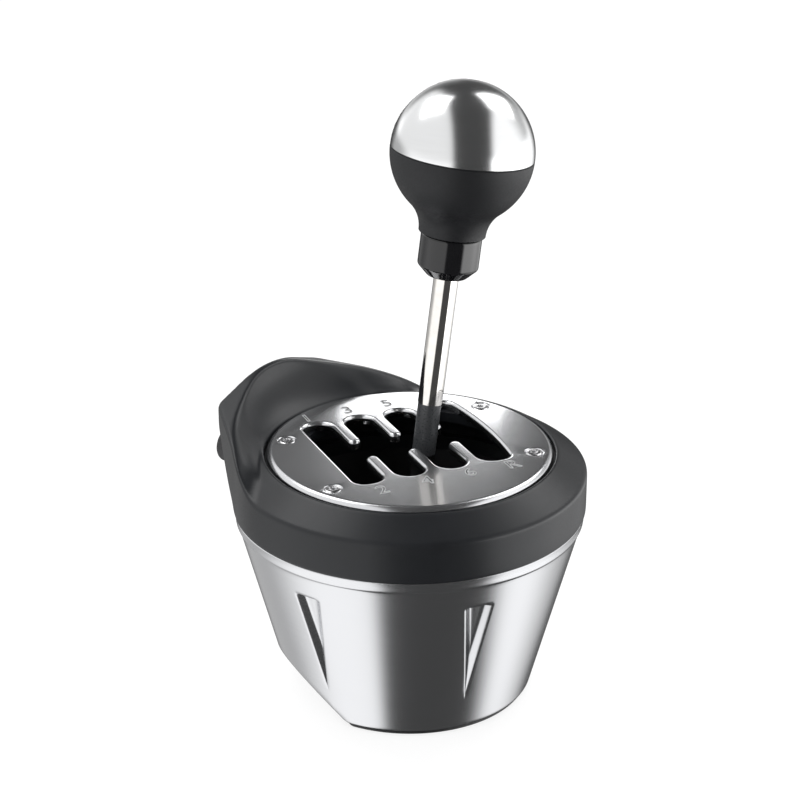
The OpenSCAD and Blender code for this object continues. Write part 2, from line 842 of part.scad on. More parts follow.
module base_plate() {
    insert_wall = 2;
    color("#1f2022")
        difference() {
            union() {
                difference() {
                    translate([0, 0, pad_t])
                        cylinder(r = base_r, h = base_t, $fn = 180);
                    slant_cuts(slant_wall + drop_fit);
                }
                at_inserts()
                    translate([0, 0, pad_t])
                        cylinder(d = insert_d + 2 * insert_wall, h = insert_len);
            }
            at_inserts()
                translate([0, 0, pad_t - 1])
                    cylinder(d = insert_d + 2 * seat_fit, h = insert_len + 2);
            translate([0, gate_y, pad_t - 1])
                cylinder(d = resistance_d + 2 * running_fit, h = base_t + 2);
            at_base_screws() {
                translate([0, 0, pad_t - 1])
                    cylinder(d = base_screw_d + 2 * drop_fit, h = base_t + 2);
                translate([0, 0, pad_t - 1])
                    cylinder(d = base_screw_d * 2, h = 1 + base_t / 2);
            }
            translate([0, gate_y, base_top_z - base_t / 2])
                for (p = chassis_screw_pts)
                    translate(p)
                        cylinder(d = chassis_screw_d + 2 * seat_fit, h = base_t);
        }
}

module base_screws() {
    head_gap = 0.25;
    head_d = base_screw_d * 2 - 2 * head_gap;
    head_h = base_t / 2 - head_gap;
    color("gray")
        at_base_screws()
            difference() {
                union() {
                    translate([0, 0, pad_t + head_gap])
                        cylinder(d = head_d, h = head_h);
                    translate([0, 0, pad_t + head_gap])
                        cylinder(d = base_screw_d, h = base_screw_len);
                }
                translate([0, 0, pad_t])
                    cylinder(d = base_screw_d * 0.8, h = head_h * 0.8, $fn = 6);
            }
}

module mount_inserts() {
    color("goldenrod")
        at_inserts()
            translate([0, 0, pad_t])
                ring(insert_d / 2, insert_core_d / 2, insert_len);
}

module resistance_screw() {
    low_z = pad_t + 0.5;
    color("silver")
        translate([0, gate_y, 0])
            difference() {
                translate([0, 0, low_z])
                    cylinder(d = resistance_d, h = resistance_top_z - low_z);
                translate([0, 0, low_z - 1])
                    cylinder(d = resistance_d / 2, h = 1 + base_t * 0.7, $fn = 6);
            }
}

module chassis() {
    floor_y = upright_y1 + 1;
    bore_r = bush_out_r + seat_fit;
    screw_gap = 0.2;
    color("slategray")
        translate([0, gate_y, 0])
            difference() {
                union() {
                    translate([-floor_half_w, -floor_y, base_top_z])
                        cube([2 * floor_half_w, 2 * floor_y, floor_t]);
                    for (s = [-1, 1])
                        translate([0, s * (upright_y0 + upright_y1) / 2, 0])
                            chassis_upright();
                    for (s = [-1, 1])
                        translate([s * sensor_post_x, -board_y, pivot_z])
                            along_y()
                                cylinder(d = sensor_post_d, h = board_y - upright_y0 - 1);
                }
                translate([0, -floor_y - 1, pivot_z])
                    along_y()
                        cylinder(r = bore_r, h = 2 * floor_y + 2);
                translate([0, 0, base_top_z - 1])
                    cylinder(d = resistance_d + 2, h = floor_t + 2);
                for (p = chassis_screw_pts)
                    translate([p.x, p.y, base_top_z - 1])
                        cylinder(d = chassis_screw_d + 2 * screw_gap, h = floor_t + 2);
            }
}

// Plate with a round head about the axle and a window that lightens it
module chassis_upright() {
    foot_z = base_top_z + floor_t / 2;
    rise = pivot_z - foot_z;
    window_r = upright_half_w * 0.27;
    window_x = upright_half_w * 0.29;
    window_z = rise * 0.38;
    rotate([90, 0, 0])
        linear_extrude(upright_t, center = true)
            translate([0, foot_z])
                difference() {
                    union() {
                        translate([-upright_half_w, 0])
                            square([2 * upright_half_w, rise]);
                        translate([0, rise])
                            circle(r = upright_half_w);
                    }
                    for (s = [-1, 1])
                        translate([s * window_x, window_z])
                            circle(r = window_r);
                    translate([-window_x, window_z - window_r])
                        square([2 * window_x, 2 * window_r]);
                }
}

module chassis_screws() {
    head_h = chassis_screw_d * 0.6;
    sink = 0.2;
    color("gray")
        translate([0, gate_y, 0])
            for (p = chassis_screw_pts)
                translate([p.x, p.y, floor_top_z]) {
                    cylinder(d = chassis_screw_d * 1.8, h = head_h);
                    translate([0, 0, -floor_t - base_t / 2 + sink])
                        cylinder(d = chassis_screw_d, h = floor_t + base_t / 2);
                }
}

// Flanged bush of the select axle; its flange faces the yoke
module axle_bush() {
    color("peru")
        difference() {
            union() {
                cylinder(r = bush_out_r + bush_flange_w, h = bush_flange_t);
                cylinder(r = bush_out_r, h = bush_flange_t + upright_t);
            }
            translate([0, 0, -1])
                cylinder(r = bush_in_r, h = bush_flange_t + upright_t + 2);
        }
}

module front_bush() {
    translate([0, gate_y + upright_y0 - bush_flange_t, pivot_z])
        along_y()
            axle_bush();
}

module rear_bush() {
    translate([0, gate_y - upright_y0 + bush_flange_t, pivot_z])
        mirror([0, 1, 0])
            along_y()
                axle_bush();
}

module detent_plate() {
    locator_gap = 0.1;
    color("darkgoldenrod")
        translate([0, gate_y, 0])
            difference() {
                union() {
                    translate([0, 0, floor_top_z])
                        cylinder(r = dish_rim_r, h = dish_top_z - floor_top_z);
                    translate([0, 0, resistance_top_z + locator_gap])
                        cylinder(d = resistance_d + 2 - 2 * locator_gap, h = 1);
                }
                translate([0, 0, pivot_z])
                    sphere(r = dish_r, $fn = 128);
            }
}

module sensor_board() {
    edge = 3.5;
    chip_w = 4;
    color("darkgreen")
        translate([0, gate_y - board_y, pivot_z]) {
            translate([-sensor_post_x - edge, -board_t, -chip_w - edge])
                cube([2 * (sensor_post_x + edge), board_t, 2 * (chip_w + edge)]);
            translate([-chip_w / 2, -tiny, -chip_w / 2])
                cube([chip_w, chip_t + tiny, chip_w]);
        }
}

module yoke() {
    pin_bore_r = shift_pin_d / 2 + seat_fit;
    corner_r = 3;
    color("lightslategray")
        at_gimbal() {
            difference() {
                translate([0, 0, -yoke_h / 2])
                    linear_extrude(yoke_h)
                        difference() {
                            rounded_rect(yoke_w, yoke_depth, corner_r);
                            square([yoke_gap_w, yoke_depth - 2 * yoke_wall], center = true);
                        }
                translate([-yoke_w, 0, 0])
                    along_x()
                        cylinder(r = pin_bore_r, h = 2 * yoke_w);
            }
            for (s = [0, 1])
                mirror([0, s, 0])
                    translate([0, yoke_depth / 2 - 1, 0])
                        along_y()
                            cylinder(d = axle_d, h = axle_end_y - yoke_depth / 2 + 1);
        }
}

module rounded_rect(w, d, r) {
    square([w - 2 * r, d], center = true);
    square([w, d - 2 * r], center = true);
    for (x = [-1, 1], y = [-1, 1])
        translate([x * (w / 2 - r), y * (d / 2 - r)])
            circle(r = r);
}

module shift_pin() {
    color("silver")
        at_gimbal()
            translate([-yoke_w / 2, 0, 0])
                along_x()
                    cylinder(d = shift_pin_d, h = yoke_w);
}

module thrust_washers() {
    color("burlywood")
        at_gimbal()
            for (s = [0, 1])
                mirror([s, 0, 0])
                    translate([hub_w / 2 + end_play, 0, 0])
                        along_x()
                            ring(yoke_h / 2, shift_pin_d / 2 + running_fit, washer_t);
}

module yoke_magnet() {
    color("#8c8f94")
        at_gimbal()
            translate([0, -axle_end_y - magnet_t, 0])
                along_y()
                    cylinder(d = axle_d, h = magnet_t);
}

module lever_hub() {
    shank_r = sleeve_d / 2;
    corner_r = 2.5;
    color("#aab0b6")
        at_gimbal()
            difference() {
                union() {
                    translate([0, 0, -hub_down])
                        linear_extrude(hub_down + hub_up)
                            rounded_rect(hub_w, hub_depth, corner_r);
                    translate([0, 0, hub_up - 1])
                        cylinder(r1 = hub_depth / 2 - tiny, r2 = shank_r, h = 5);
                    cylinder(r = shank_r, h = sleeve_z0);
                }
                translate([-hub_w, 0, 0])
                    along_x()
                        cylinder(r = hub_bush_r + seat_fit, h = 2 * hub_w);
                translate([0, 0, -hub_down - 1])
                    cylinder(r = plunger_bore_r, h = hub_down + spring_seat + 1);
                translate([0, 0, sleeve_z0 - neck_depth - 1])
                    cylinder(d = rod_neck_d + 2 * seat_fit, h = neck_depth + 2);
            }
}

module hub_bush() {
    color("peru")
        at_gimbal()
            translate([-hub_w / 2, 0, 0])
                along_x()
                    ring(hub_bush_r, shift_pin_d / 2 + running_fit, hub_w);
}

module lever_rod() {
    rod_top = grip_z0 + rod_in_insert + 1;
    tip_chamfer = 1;
    color("gainsboro")
        at_gimbal() {
            translate([0, 0, sleeve_z0 - neck_depth])
                cylinder(d = rod_neck_d, h = neck_depth + sleeve_len + 1);
            translate([0, 0, rod_z0])
                cylinder(d = rod_d, h = rod_top - rod_z0 - tip_chamfer);
            translate([0, 0, rod_top - tip_chamfer])
                cylinder(d1 = rod_d, d2 = rod_d - 2 * tip_chamfer, h = tip_chamfer);
        }
}

module lever_sleeve() {
    color("#3c3e41")
        at_gimbal()
            translate([0, 0, sleeve_z0 + seat_fit])
                ring(sleeve_d / 2, rod_neck_d / 2 + seat_fit, sleeve_len - 2 * seat_fit);
}

module knob_ferrule() {
    r = ferrule_d / 2;
    edge = 0.8;
    color("#101113")
        at_gimbal()
            translate([0, 0, ferrule_z0])
                difference() {
                    rotate_extrude()
                        polygon([[0, 0], [r - ferrule_chamfer, 0], [r, ferrule_chamfer],
                            [r, ferrule_h - edge], [r - edge, ferrule_h - seat_fit],
                            [0, ferrule_h - seat_fit]]);
                    translate([0, 0, -1])
                        cylinder(d = rod_d + 2 * seat_fit, h = ferrule_h + 2);
                }
}

module knob_insert() {
    color("goldenrod")
        at_gimbal()
            translate([0, 0, grip_z0 + 1])
                difference() {
                    cylinder(d = knob_insert_d, h = knob_insert_len);
                    translate([0, 0, -1])
                        cylinder(d = rod_d + 2 * seat_fit, h = rod_in_insert + 1 + drop_fit);
                }
}

// Section of the grip: the lower half of the ball, drawn in to its neck by a concave flare
module grip_section() {
    intersection() {
        circle(r = ball_r, $fn = 180);
        translate([0, -flare_drop])
            square([ball_r, flare_drop - knob_seam / 2]);
    }
    difference() {
        translate([0, -neck_drop])
            square([flare_start_r, neck_drop - flare_drop + tiny]);
        translate([flare_mid_r, -neck_drop])
            circle(r = flare_r, $fn = 180);
    }
}

module knob_grip() {
    groove_r = ball_r - cap_wall;
    color("#18181a")
        at_gimbal()
            translate([0, 0, ball_z])
                difference() {
                    rotate_extrude($fn = 128)
                        grip_section();
                    translate([0, 0, 1 - neck_drop])
                        cylinder(d = knob_insert_d + 2 * seat_fit, h = neck_drop);
                    translate([0, 0, -neck_drop - 1])
                        cylinder(d = rod_d + 2 * seat_fit, h = neck_drop);
                    translate([0, 0, -cap_spigot_h - knob_seam])
                        ring(groove_r + seat_fit, groove_r - cap_wall - seat_fit, cap_spigot_h + 1);
                }
}

module knob_cap() {
    spigot_r = ball_r - cap_wall;
    color("#c4c6c9")
        at_gimbal()
            translate([0, 0, ball_z]) {
                rotate_extrude($fn = 128)
                    difference() {
                        intersection() {
                            circle(r = ball_r, $fn = 180);
                            translate([0, knob_seam / 2])
                                square([ball_r, ball_r]);
                        }
                        circle(r = spigot_r - cap_wall, $fn = 180);
                    }
                translate([0, 0, -cap_spigot_h])
                    ring(spigot_r, spigot_r - cap_wall, cap_spigot_h + 1);
            }
}

module plunger() {
    tip_r = plunger_d / 2;
    color("silver")
        at_gimbal() {
            translate([0, 0, -plunger_reach + tip_r])
                sphere(r = tip_r, $fn = 48);
            translate([0, 0, -plunger_reach + tip_r])
                cylinder(r = tip_r, h = plunger_top + plunger_reach - tip_r);
        }
}

// Helix of the plunger spring, swept as one closed tube
spring_z0 = plunger_top + spring_wire_d / 2 + 0.1;
spring_z1 = spring_seat - spring_wire_d / 2 - 0.1;
spring_sides = 6;
spring_rings = ceil(spring_turns * 14);
spring_pitch = (spring_z1 - spring_z0) / spring_turns;
spring_gap = spring_pitch - spring_wire_d;
echo("plunger spring, least gap between turns", spring_gap);

function spring_point(i, j) = let (
    t = i / spring_rings,
    a = 360 * spring_turns * t,
    b = 360 * j / spring_sides,
    r = spring_r + spring_wire_d / 2 * cos(b))
    [r * cos(a), r * sin(a), spring_z0 + (spring_z1 - spring_z0) * t + spring_wire_d / 2 * sin(b)];

module plunger_spring() {
    n = spring_sides;
    points = [for (i = [0 : spring_rings], j = [0 : n - 1]) spring_point(i, j)];
    sides = [for (i = [0 : spring_rings - 1], j = [0 : n - 1], half = [0, 1])
        let (a = i * n + j, b = i * n + (j + 1) % n)
        half == 0 ? [a, a + n, b] : [b, a + n, b + n]];
    first_end = [for (j = [1 : n - 2]) [0, j, j + 1]];
    last_end = [for (j = [1 : n - 2]) [spring_rings * n, spring_rings * n + j + 1, spring_rings * n + j]];
    color("lightgray")
        at_gimbal()
            polyhedron(points, concat(sides, first_end, last_end));
}

gate_plate();
plate_screws();
top_collar();
metal_shell();
upper_desk_pad();
lower_desk_pad();
rear_panel();
usb_socket();
din_socket();
main_board();
base_pad();
base_plate();
base_screws();
mount_inserts();
resistance_screw();
chassis();
chassis_screws();
front_bush();
rear_bush();
detent_plate();
sensor_board();
yoke();
shift_pin();
thrust_washers();
yoke_magnet();
lever_hub();
hub_bush();
lever_rod();
lever_sleeve();
knob_ferrule();
knob_insert();
knob_grip();
knob_cap();
plunger();
plunger_spring();
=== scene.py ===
import json
import math

import bmesh
import bpy
import numpy as np
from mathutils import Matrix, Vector


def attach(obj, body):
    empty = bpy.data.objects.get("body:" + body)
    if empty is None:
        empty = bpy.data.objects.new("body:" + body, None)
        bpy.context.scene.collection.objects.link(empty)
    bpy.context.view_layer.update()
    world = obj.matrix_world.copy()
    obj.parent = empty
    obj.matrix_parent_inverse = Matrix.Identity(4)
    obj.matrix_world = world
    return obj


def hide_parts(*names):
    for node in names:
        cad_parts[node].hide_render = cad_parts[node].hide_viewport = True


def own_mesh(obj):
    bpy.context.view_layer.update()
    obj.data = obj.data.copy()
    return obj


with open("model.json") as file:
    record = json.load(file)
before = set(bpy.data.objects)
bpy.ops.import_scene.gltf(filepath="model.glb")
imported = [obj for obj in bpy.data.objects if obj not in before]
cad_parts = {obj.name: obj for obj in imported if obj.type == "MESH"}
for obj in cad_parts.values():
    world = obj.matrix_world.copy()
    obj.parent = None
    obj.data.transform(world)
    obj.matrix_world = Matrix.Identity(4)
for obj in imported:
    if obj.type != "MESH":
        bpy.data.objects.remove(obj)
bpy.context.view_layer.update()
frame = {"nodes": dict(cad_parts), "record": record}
nodes = frame["nodes"]
scene = bpy.context.scene
MM = 0.001

# Sizes for the scene's own pieces, in millimetres and degrees. Most are the CAD model's. CORNER_R,
# SLOT_EDGE_R, SEAM_DEPTH and the upper pad's half width are the scene's own.

# Gate plate
PLATE_R = 54.5
PLATE_EDGE_R = 2.4
PLATE_Z0 = 95.4
PLATE_Z1 = 98.8
GATE_Y = 5.0
COLUMNS = (-25.5, -8.5, 8.5, 25.5)
SLOT_HALF_W = 6.0
SLOT_REACH = 29.5
CHANNEL_HALF_W = 7.0
FINGER_R = 2.5
CORNER_R = 4.6
GATE_BOW = 2.6
SLOT_EDGE_R = 1.4
SCREW_CIRCLE_R = 47.2
SCREW_ANGLES = (60, 120, 240, 300)
SCREW_HOLE_R = 1.8
SCREW_SINK_R = 3.7
SCREW_SINK_H = 2.2

# Body, with angles counted from its clamp side, which is turned from +Y
CLAMP_TURN = math.radians(30)
CLAMP_SIDE = CLAMP_TURN + math.pi / 2
PAD_T = 1.5
SEAM_Z = 74.7
LIP_Z = 70.3
LIP_R = 66.8
SHELL_BASE_R = 47.6
SHELL_TOP_R = 66.0
SHELL_WALL = 4.0
SHELL_CHAMFER = 1.2
SHELL_SLOPE = (SHELL_TOP_R - SHELL_BASE_R) / (LIP_Z - PAD_T)
SLANT_ANGLE = math.radians(60)
SLANT_D = 37.0
SLANT_RATE = 0.81
RECESS_ANGLES = (-150, -90, 90, 150)
RECESS_TOP_Z = 61.3
RECESS_TIP_Z = 17.0
RECESS_HALF_W = 5.75
RECESS_FLOOR_HALF_W = 3.0
RECESS_DEPTH = 2.4
WINDOW_HALF_W = 13.0
WINDOW_Z0 = 14.0
WINDOW_Z1 = 31.0

# Collar and its rear wall
COLLAR_R = 67.5
COLLAR_INNER_R = 64.5
RIM_Z = 90.6
BEVEL_TOP_Z = 97.6
BEVEL_TOP_R = 56.3
BEVEL_SLOPE = (BEVEL_TOP_Z - RIM_Z) / (COLLAR_R - BEVEL_TOP_R)
POCKET_R = 55.3
SEAT_R = 42.3
SEAT_T = 4.0
SPIGOT_R = 62.6
SPIGOT_WALL = 2.0
SPIGOT_H = 4.0
WALL_SINK = 0.25
WALL_R = COLLAR_R - WALL_SINK
REAR_D = 70.0
FLANK_ANGLE = math.radians(51.5)
TAIL_ANGLE = math.radians(64)
REAR_FLARE = 0.35
CROWN_Z = 116.1
CROWN_R = 50.0
CROWN_HALF_W = 16.0
SHOULDER_ANGLE = math.asin(CROWN_HALF_W / CROWN_R)
SCOOP_R = 23.0
SCOOP_WALL_R = 66.8
SCOOP_MID_R = SCOOP_WALL_R - SCOOP_R
SCOOP_MID_Z = BEVEL_TOP_Z - WALL_SINK + math.sqrt(SCOOP_R ** 2 - (POCKET_R - SCOOP_MID_R) ** 2)

# Desk pads on the clamp side: half width, height, middle height, distance of the face from the axis
UPPER_PAD = (28.0, 14.0, 87.95, 74.0)
LOWER_PAD = (19.5, 9.0, 41.47, 59.99)

# Lever, with distances along it from the gimbal's centre
PIVOT = Vector((0, GATE_Y, 31.0))
LEAN = math.atan(COLUMNS[2] / ((PLATE_Z0 + PLATE_Z1) / 2 - PIVOT.z))
SLEEVE_BELOW = 6.2
SLEEVE_LEN = 20.7
ROD_SHOW = 50.7
FERRULE_AT = (PLATE_Z1 - PIVOT.z) / math.cos(LEAN) - SLEEVE_BELOW + SLEEVE_LEN + ROD_SHOW
FERRULE_H = 16.7
FERRULE_R = 11.5
FERRULE_CHAMFER = 4.0
NECK_DROP = 30.7
NECK_R = 12.6
BALL_AT = FERRULE_AT + FERRULE_H + NECK_DROP
BALL_R = 26.8
ROD_R = 4.7
KNOB_SEAM = 0.4
SEAM_DEPTH = 0.35
INSERT_R = 8.0


# Materials

MATERIALS = {}
NOISE_LOW, NOISE_HIGH = 0.3, 0.7
FINE_DETAIL = 3.0
MOTTLE_SCALE = 60.0
MOTTLE = 0.12


def material(name, color, metallic=0.0, roughness=0.5, **sockets):
    """A principled material; sockets are the shader's other inputs by name, with _ for a space."""
    mat = bpy.data.materials.new(name)
    MATERIALS[name] = mat
    mat.use_nodes = True
    shader = mat.node_tree.nodes["Principled BSDF"]
    shader.inputs["Base Color"].default_value = (*color, 1)
    shader.inputs["Metallic"].default_value = metallic
    shader.inputs["Roughness"].default_value = roughness
    for key, value in sockets.items():
        shader.inputs[key.replace("_", " ")].default_value = value
    return mat


def add(mat, kind):
    return mat.node_tree.nodes.new(kind)


def link(mat, source, target):
    mat.node_tree.links.new(source, target)


def noise(mat, scale, stretch=(1, 1, 1), detail=4.0):
    """Noise in the piece's own coordinates, in metres, stretched along the axes."""
    place = add(mat, "ShaderNodeTexCoord")
    mapping = add(mat, "ShaderNodeMapping")
    mapping.inputs["Scale"].default_value = stretch
    tex = add(mat, "ShaderNodeTexNoise")
    tex.inputs["Scale"].default_value = scale
    tex.inputs["Detail"].default_value = detail
    link(mat, place.outputs["Object"], mapping.inputs["Vector"])
    link(mat, mapping.outputs["Vector"], tex.inputs["Vector"])
    return tex.outputs["Fac"]


def spread(mat, value, low, high):
    """Maps a noise's middle range to low..high."""
    node = add(mat, "ShaderNodeMapRange")
    node.inputs["From Min"].default_value = NOISE_LOW
    node.inputs["From Max"].default_value = NOISE_HIGH
    node.inputs["To Min"].default_value = low
    node.inputs["To Max"].default_value = high
    link(mat, value, node.inputs["Value"])
    return node.outputs["Result"]


def vary_color(mat, value, dark, light):
    ramp = add(mat, "ShaderNodeValToRGB")
    ramp.color_ramp.elements[0].position = NOISE_LOW
    ramp.color_ramp.elements[1].position = NOISE_HIGH
    ramp.color_ramp.elements[0].color = (*dark, 1)
    ramp.color_ramp.elements[1].color = (*light, 1)
    link(mat, value, ramp.inputs["Fac"])
    link(mat, ramp.outputs["Color"], mat.node_tree.nodes["Principled BSDF"].inputs["Base Color"])


def vary_roughness(mat, value, low, high):
    link(mat, spread(mat, value, low, high), mat.node_tree.nodes["Principled BSDF"].inputs["Roughness"])


def bump(mat, value, depth_mm):
    node = add(mat, "ShaderNodeBump")
    node.inputs["Strength"].default_value = 1.0
    node.inputs["Distance"].default_value = depth_mm * MM
    link(mat, value, node.inputs["Height"])
    link(mat, node.outputs["Normal"], mat.node_tree.nodes["Principled BSDF"].inputs["Normal"])


def tone(color, factor):
    return tuple(c * factor for c in color)


def brushed(name, color, roughness, scale, stretch, depth_mm, spread_by=0.06, shade_by=0.06, **sockets):
    mat = material(name, color, 1.0, roughness, **sockets)
    lines = noise(mat, scale, stretch, FINE_DETAIL)
    vary_color(mat, lines, tone(color, 1 - shade_by), tone(color, 1 + shade_by))
    vary_roughness(mat, lines, roughness - spread_by, roughness + spread_by)
    bump(mat, lines, depth_mm)
    return mat


def polish(mat, share, roughness):
    """Mixes a smoother reflection into a metal, as on steel that is polished after brushing."""
    tree = mat.node_tree
    satin = tree.nodes["Principled BSDF"]
    smooth = add(mat, "ShaderNodeBsdfPrincipled")
    smooth.inputs["Metallic"].default_value = 1.0
    smooth.inputs["Roughness"].default_value = roughness
    for name in ("Base Color", "Normal"):
        link(mat, satin.inputs[name].links[0].from_socket, smooth.inputs[name])
    mix = add(mat, "ShaderNodeMixShader")
    mix.inputs["Fac"].default_value = share
    link(mat, satin.outputs[0], mix.inputs[1])
    link(mat, smooth.outputs[0], mix.inputs[2])
    link(mat, mix.outputs[0], tree.nodes["Material Output"].inputs["Surface"])


def grained(name, color, roughness, scale, depth_mm, spread_by=0.06, **sockets):
    mat = material(name, color, 0.0, roughness, **sockets)
    grain = noise(mat, scale, detail=FINE_DETAIL)
    vary_color(mat, noise(mat, MOTTLE_SCALE), tone(color, 1 - MOTTLE), tone(color, 1 + MOTTLE))
    vary_roughness(mat, grain, roughness - spread_by, roughness + spread_by)
    bump(mat, grain, depth_mm)
    return mat


# Each is kept in MATERIALS under its name. Those without a variable are for CAD nodes alone.
plate_steel = brushed("plate_steel", (0.60, 0.605, 0.62), 0.25, 40.0, (0.6, 60, 1), 0.0003, 0.02, 0.03)
polish(plate_steel, 0.36, 0.1)
brushed("cap_steel", (0.66, 0.665, 0.67), 0.19, 40.0, (1, 1, 40), 0.00005, 0.01, 0.015)
shell_metal = brushed("shell_metal", (0.60, 0.605, 0.62), 0.22, 40.0, (0.5, 0.5, 45), 0.00005, 0.01, 0.012)
shell_inside = brushed("shell_inside", (0.05, 0.05, 0.053), 0.5, 300.0, (1, 1, 1), 0.01)
brushed("rod_chrome", (0.70, 0.68, 0.65), 0.07, 300.0, (1, 1, 1), 0.0003, 0.02)
brushed("lever_steel", (0.62, 0.60, 0.57), 0.14, 60.0, (1, 1, 30), 0.0006, 0.04)
screw_steel = brushed("screw_steel", (0.55, 0.55, 0.56), 0.25, 900.0, (1, 1, 1), 0.001, 0.04)
brushed("chassis_metal", (0.035, 0.036, 0.04), 0.45, 200.0, (1, 1, 1), 0.003)
brushed("socket_metal", (0.6, 0.605, 0.62), 0.25, 400.0, (1, 1, 6), 0.001)
brushed("brass", (0.66, 0.48, 0.21), 0.3, 300.0, (1, 1, 12), 0.002)
collar_plastic = grained("collar_plastic", (0.010, 0.011, 0.013), 0.35, 1500.0, 0.008, 0.04,
                         Specular_IOR_Level=0.3)
grained("panel_plastic", (0.012, 0.0125, 0.014), 0.5, 1500.0, 0.03)
grained("socket_plastic", (0.03, 0.03, 0.032), 0.45, 1500.0, 0.02)
pad_rubber = grained("pad_rubber", (0.010, 0.010, 0.011), 0.55, 900.0, 0.03)
grip_rubber = grained("grip_rubber", (0.009, 0.0095, 0.011), 0.5, 1400.0, 0.02, Specular_IOR_Level=0.3)
grained("sleeve_plastic", (0.038, 0.040, 0.043), 0.3, 1400.0, 0.01)
ferrule_gloss = grained("ferrule_gloss", (0.006, 0.006, 0.007), 0.08, 500.0, 0.001, 0.02)
grained("detent_plastic", (0.035, 0.032, 0.03), 0.45, 600.0, 0.01)
grained("board", (0.012, 0.075, 0.03), 0.35, 700.0, 0.01)
numeral_light = grained("numeral_light", (0.5, 0.505, 0.51), 0.5, 600.0, 0.002)
numeral_dark = brushed("numeral_dark", (0.07, 0.072, 0.076), 0.5, 600.0, (1, 1, 1), 0.002)

for row in frame["record"]["subparts"]:
    slots = nodes[row["node"]].data.materials
    slots.clear()
    slots.append(MATERIALS[row["material_slot"]])


# Soft edges on the CAD nodes that stay

WELD_MM = 0.002
SOFT_SEGMENTS = 3
SOFT_ANGLE = math.radians(30)
NORMAL_WEIGHT = 100


def soften(node, width_mm):
    """Rounds a node's sharp edges by modifiers, with its mesh as it is."""
    obj = nodes[node]
    weld = obj.modifiers.new("weld", "WELD")
    weld.merge_threshold = WELD_MM * MM
    bevel = obj.modifiers.new("edges", "BEVEL")
    bevel.width = width_mm * MM
    bevel.segments = SOFT_SEGMENTS
    bevel.limit_method = "ANGLE"
    bevel.angle_limit = SOFT_ANGLE
    bevel.use_clamp_overlap = False
    bevel.loop_slide = False
    bevel.miter_outer = "MITER_ARC"
    normals = obj.modifiers.new("normals", "WEIGHTED_NORMAL")
    normals.keep_sharp = False
    normals.weight = NORMAL_WEIGHT


SOFT_EDGES = {"knob_cap": 0.25, "rear_panel": 0.4, "usb_socket": 0.2, "din_socket": 0.2}
for name, width in SOFT_EDGES.items():
    soften(name, width)


# Tools for the scene's own meshes

def soft_min(a, b, blend):
    """The lower of two values, rounded off where they come within blend of each other."""
    h = np.maximum(blend - np.abs(a - b), 0.0)
    return np.minimum(a, b) - h * h / (4 * blend)


def soft_max(a, b, blend):
    return -soft_min(-a, -b, blend)


def ease(value):
    """Goes smoothly from 0 at 0 to 1 at 1."""
    t = np.clip(value, 0, 1)
    return t * t * (3 - 2 * t)


def even_line(r, z, count):
    """A line's points again, evenly spaced."""
    run = np.concatenate([[0], np.cumsum(np.hypot(np.diff(r), np.diff(z)))])
    even = np.linspace(0, run[-1], count)
    return np.interp(even, run, r), np.interp(even, run, z)


def rounded_line(r, z, soft, count, step=0.1):
    """A section's line with its corners rounded over about soft millimetres, as count even points."""
    run = np.hypot(np.diff(r), np.diff(z)).sum()
    r, z = even_line(r, z, int(run / step) + 1)
    n = int(soft / step)
    weights = np.hanning(2 * n + 3)[1:-1]
    weights /= weights.sum()
    lines = []
    for v in (r, z):
        padded = np.concatenate([2 * v[0] - v[n:0:-1], v, 2 * v[-1] - v[-2:-n - 2:-1]])
        lines.append(np.convolve(padded, weights, "valid"))
    return even_line(*lines, count)


def body_points(r, phi, z):
    """Points in the part's frame, in metres, from radius, angle from the clamp side and height."""
    u, w = r * np.sin(phi), r * np.cos(phi)
    c, s = math.cos(CLAMP_TURN), math.sin(CLAMP_TURN)
    return np.stack([u * c - w * s, u * s + w * c, z + 0 * r], axis=-1) * MM


def lever_points(r, turn, s):
    """Points in the part's frame, in metres, round the lever at rest, at distances s along it."""
    x, y = r * np.cos(turn), r * np.sin(turn)
    c, q = math.cos(LEAN), math.sin(LEAN)
    return np.stack([PIVOT.x + x * c + s * q, PIVOT.y + y, PIVOT.z - x * q + s * c], axis=-1) * MM


def mesh_object(name, verts, faces, mats, body, replaced, face_mats=None, sharp=40):
    """A smooth mesh piece that rides a body and stands for a CAD node."""
    mesh = bpy.data.meshes.new(name)
    mesh.from_pydata(verts, [], faces)
    for mat in mats:
        mesh.materials.append(mat)
    if face_mats is not None:
        mesh.polygons.foreach_set("material_index", face_mats)
    mesh.polygons.foreach_set("use_smooth", [True] * len(mesh.polygons))
    bm = bmesh.new()
    bm.from_mesh(mesh)
    bmesh.ops.recalc_face_normals(bm, faces=bm.faces)
    bm.to_mesh(mesh)
    bm.free()
    mesh.set_sharp_from_angle(angle=math.radians(sharp))
    obj = bpy.data.objects.new(name, mesh)
    scene.collection.objects.link(obj)
    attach(obj, body)
    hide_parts(replaced)
    return obj


def ring_faces(columns, rows):
    """Quads round a closed row of columns, whose sections are closed lines."""
    faces = []
    for i in range(columns):
        j = (i + 1) % columns
        for k in range(rows):
            m = (k + 1) % rows
            faces.append((i * rows + k, i * rows + m, j * rows + m, j * rows + k))
    return faces


# Collar, with the scooped rear wall

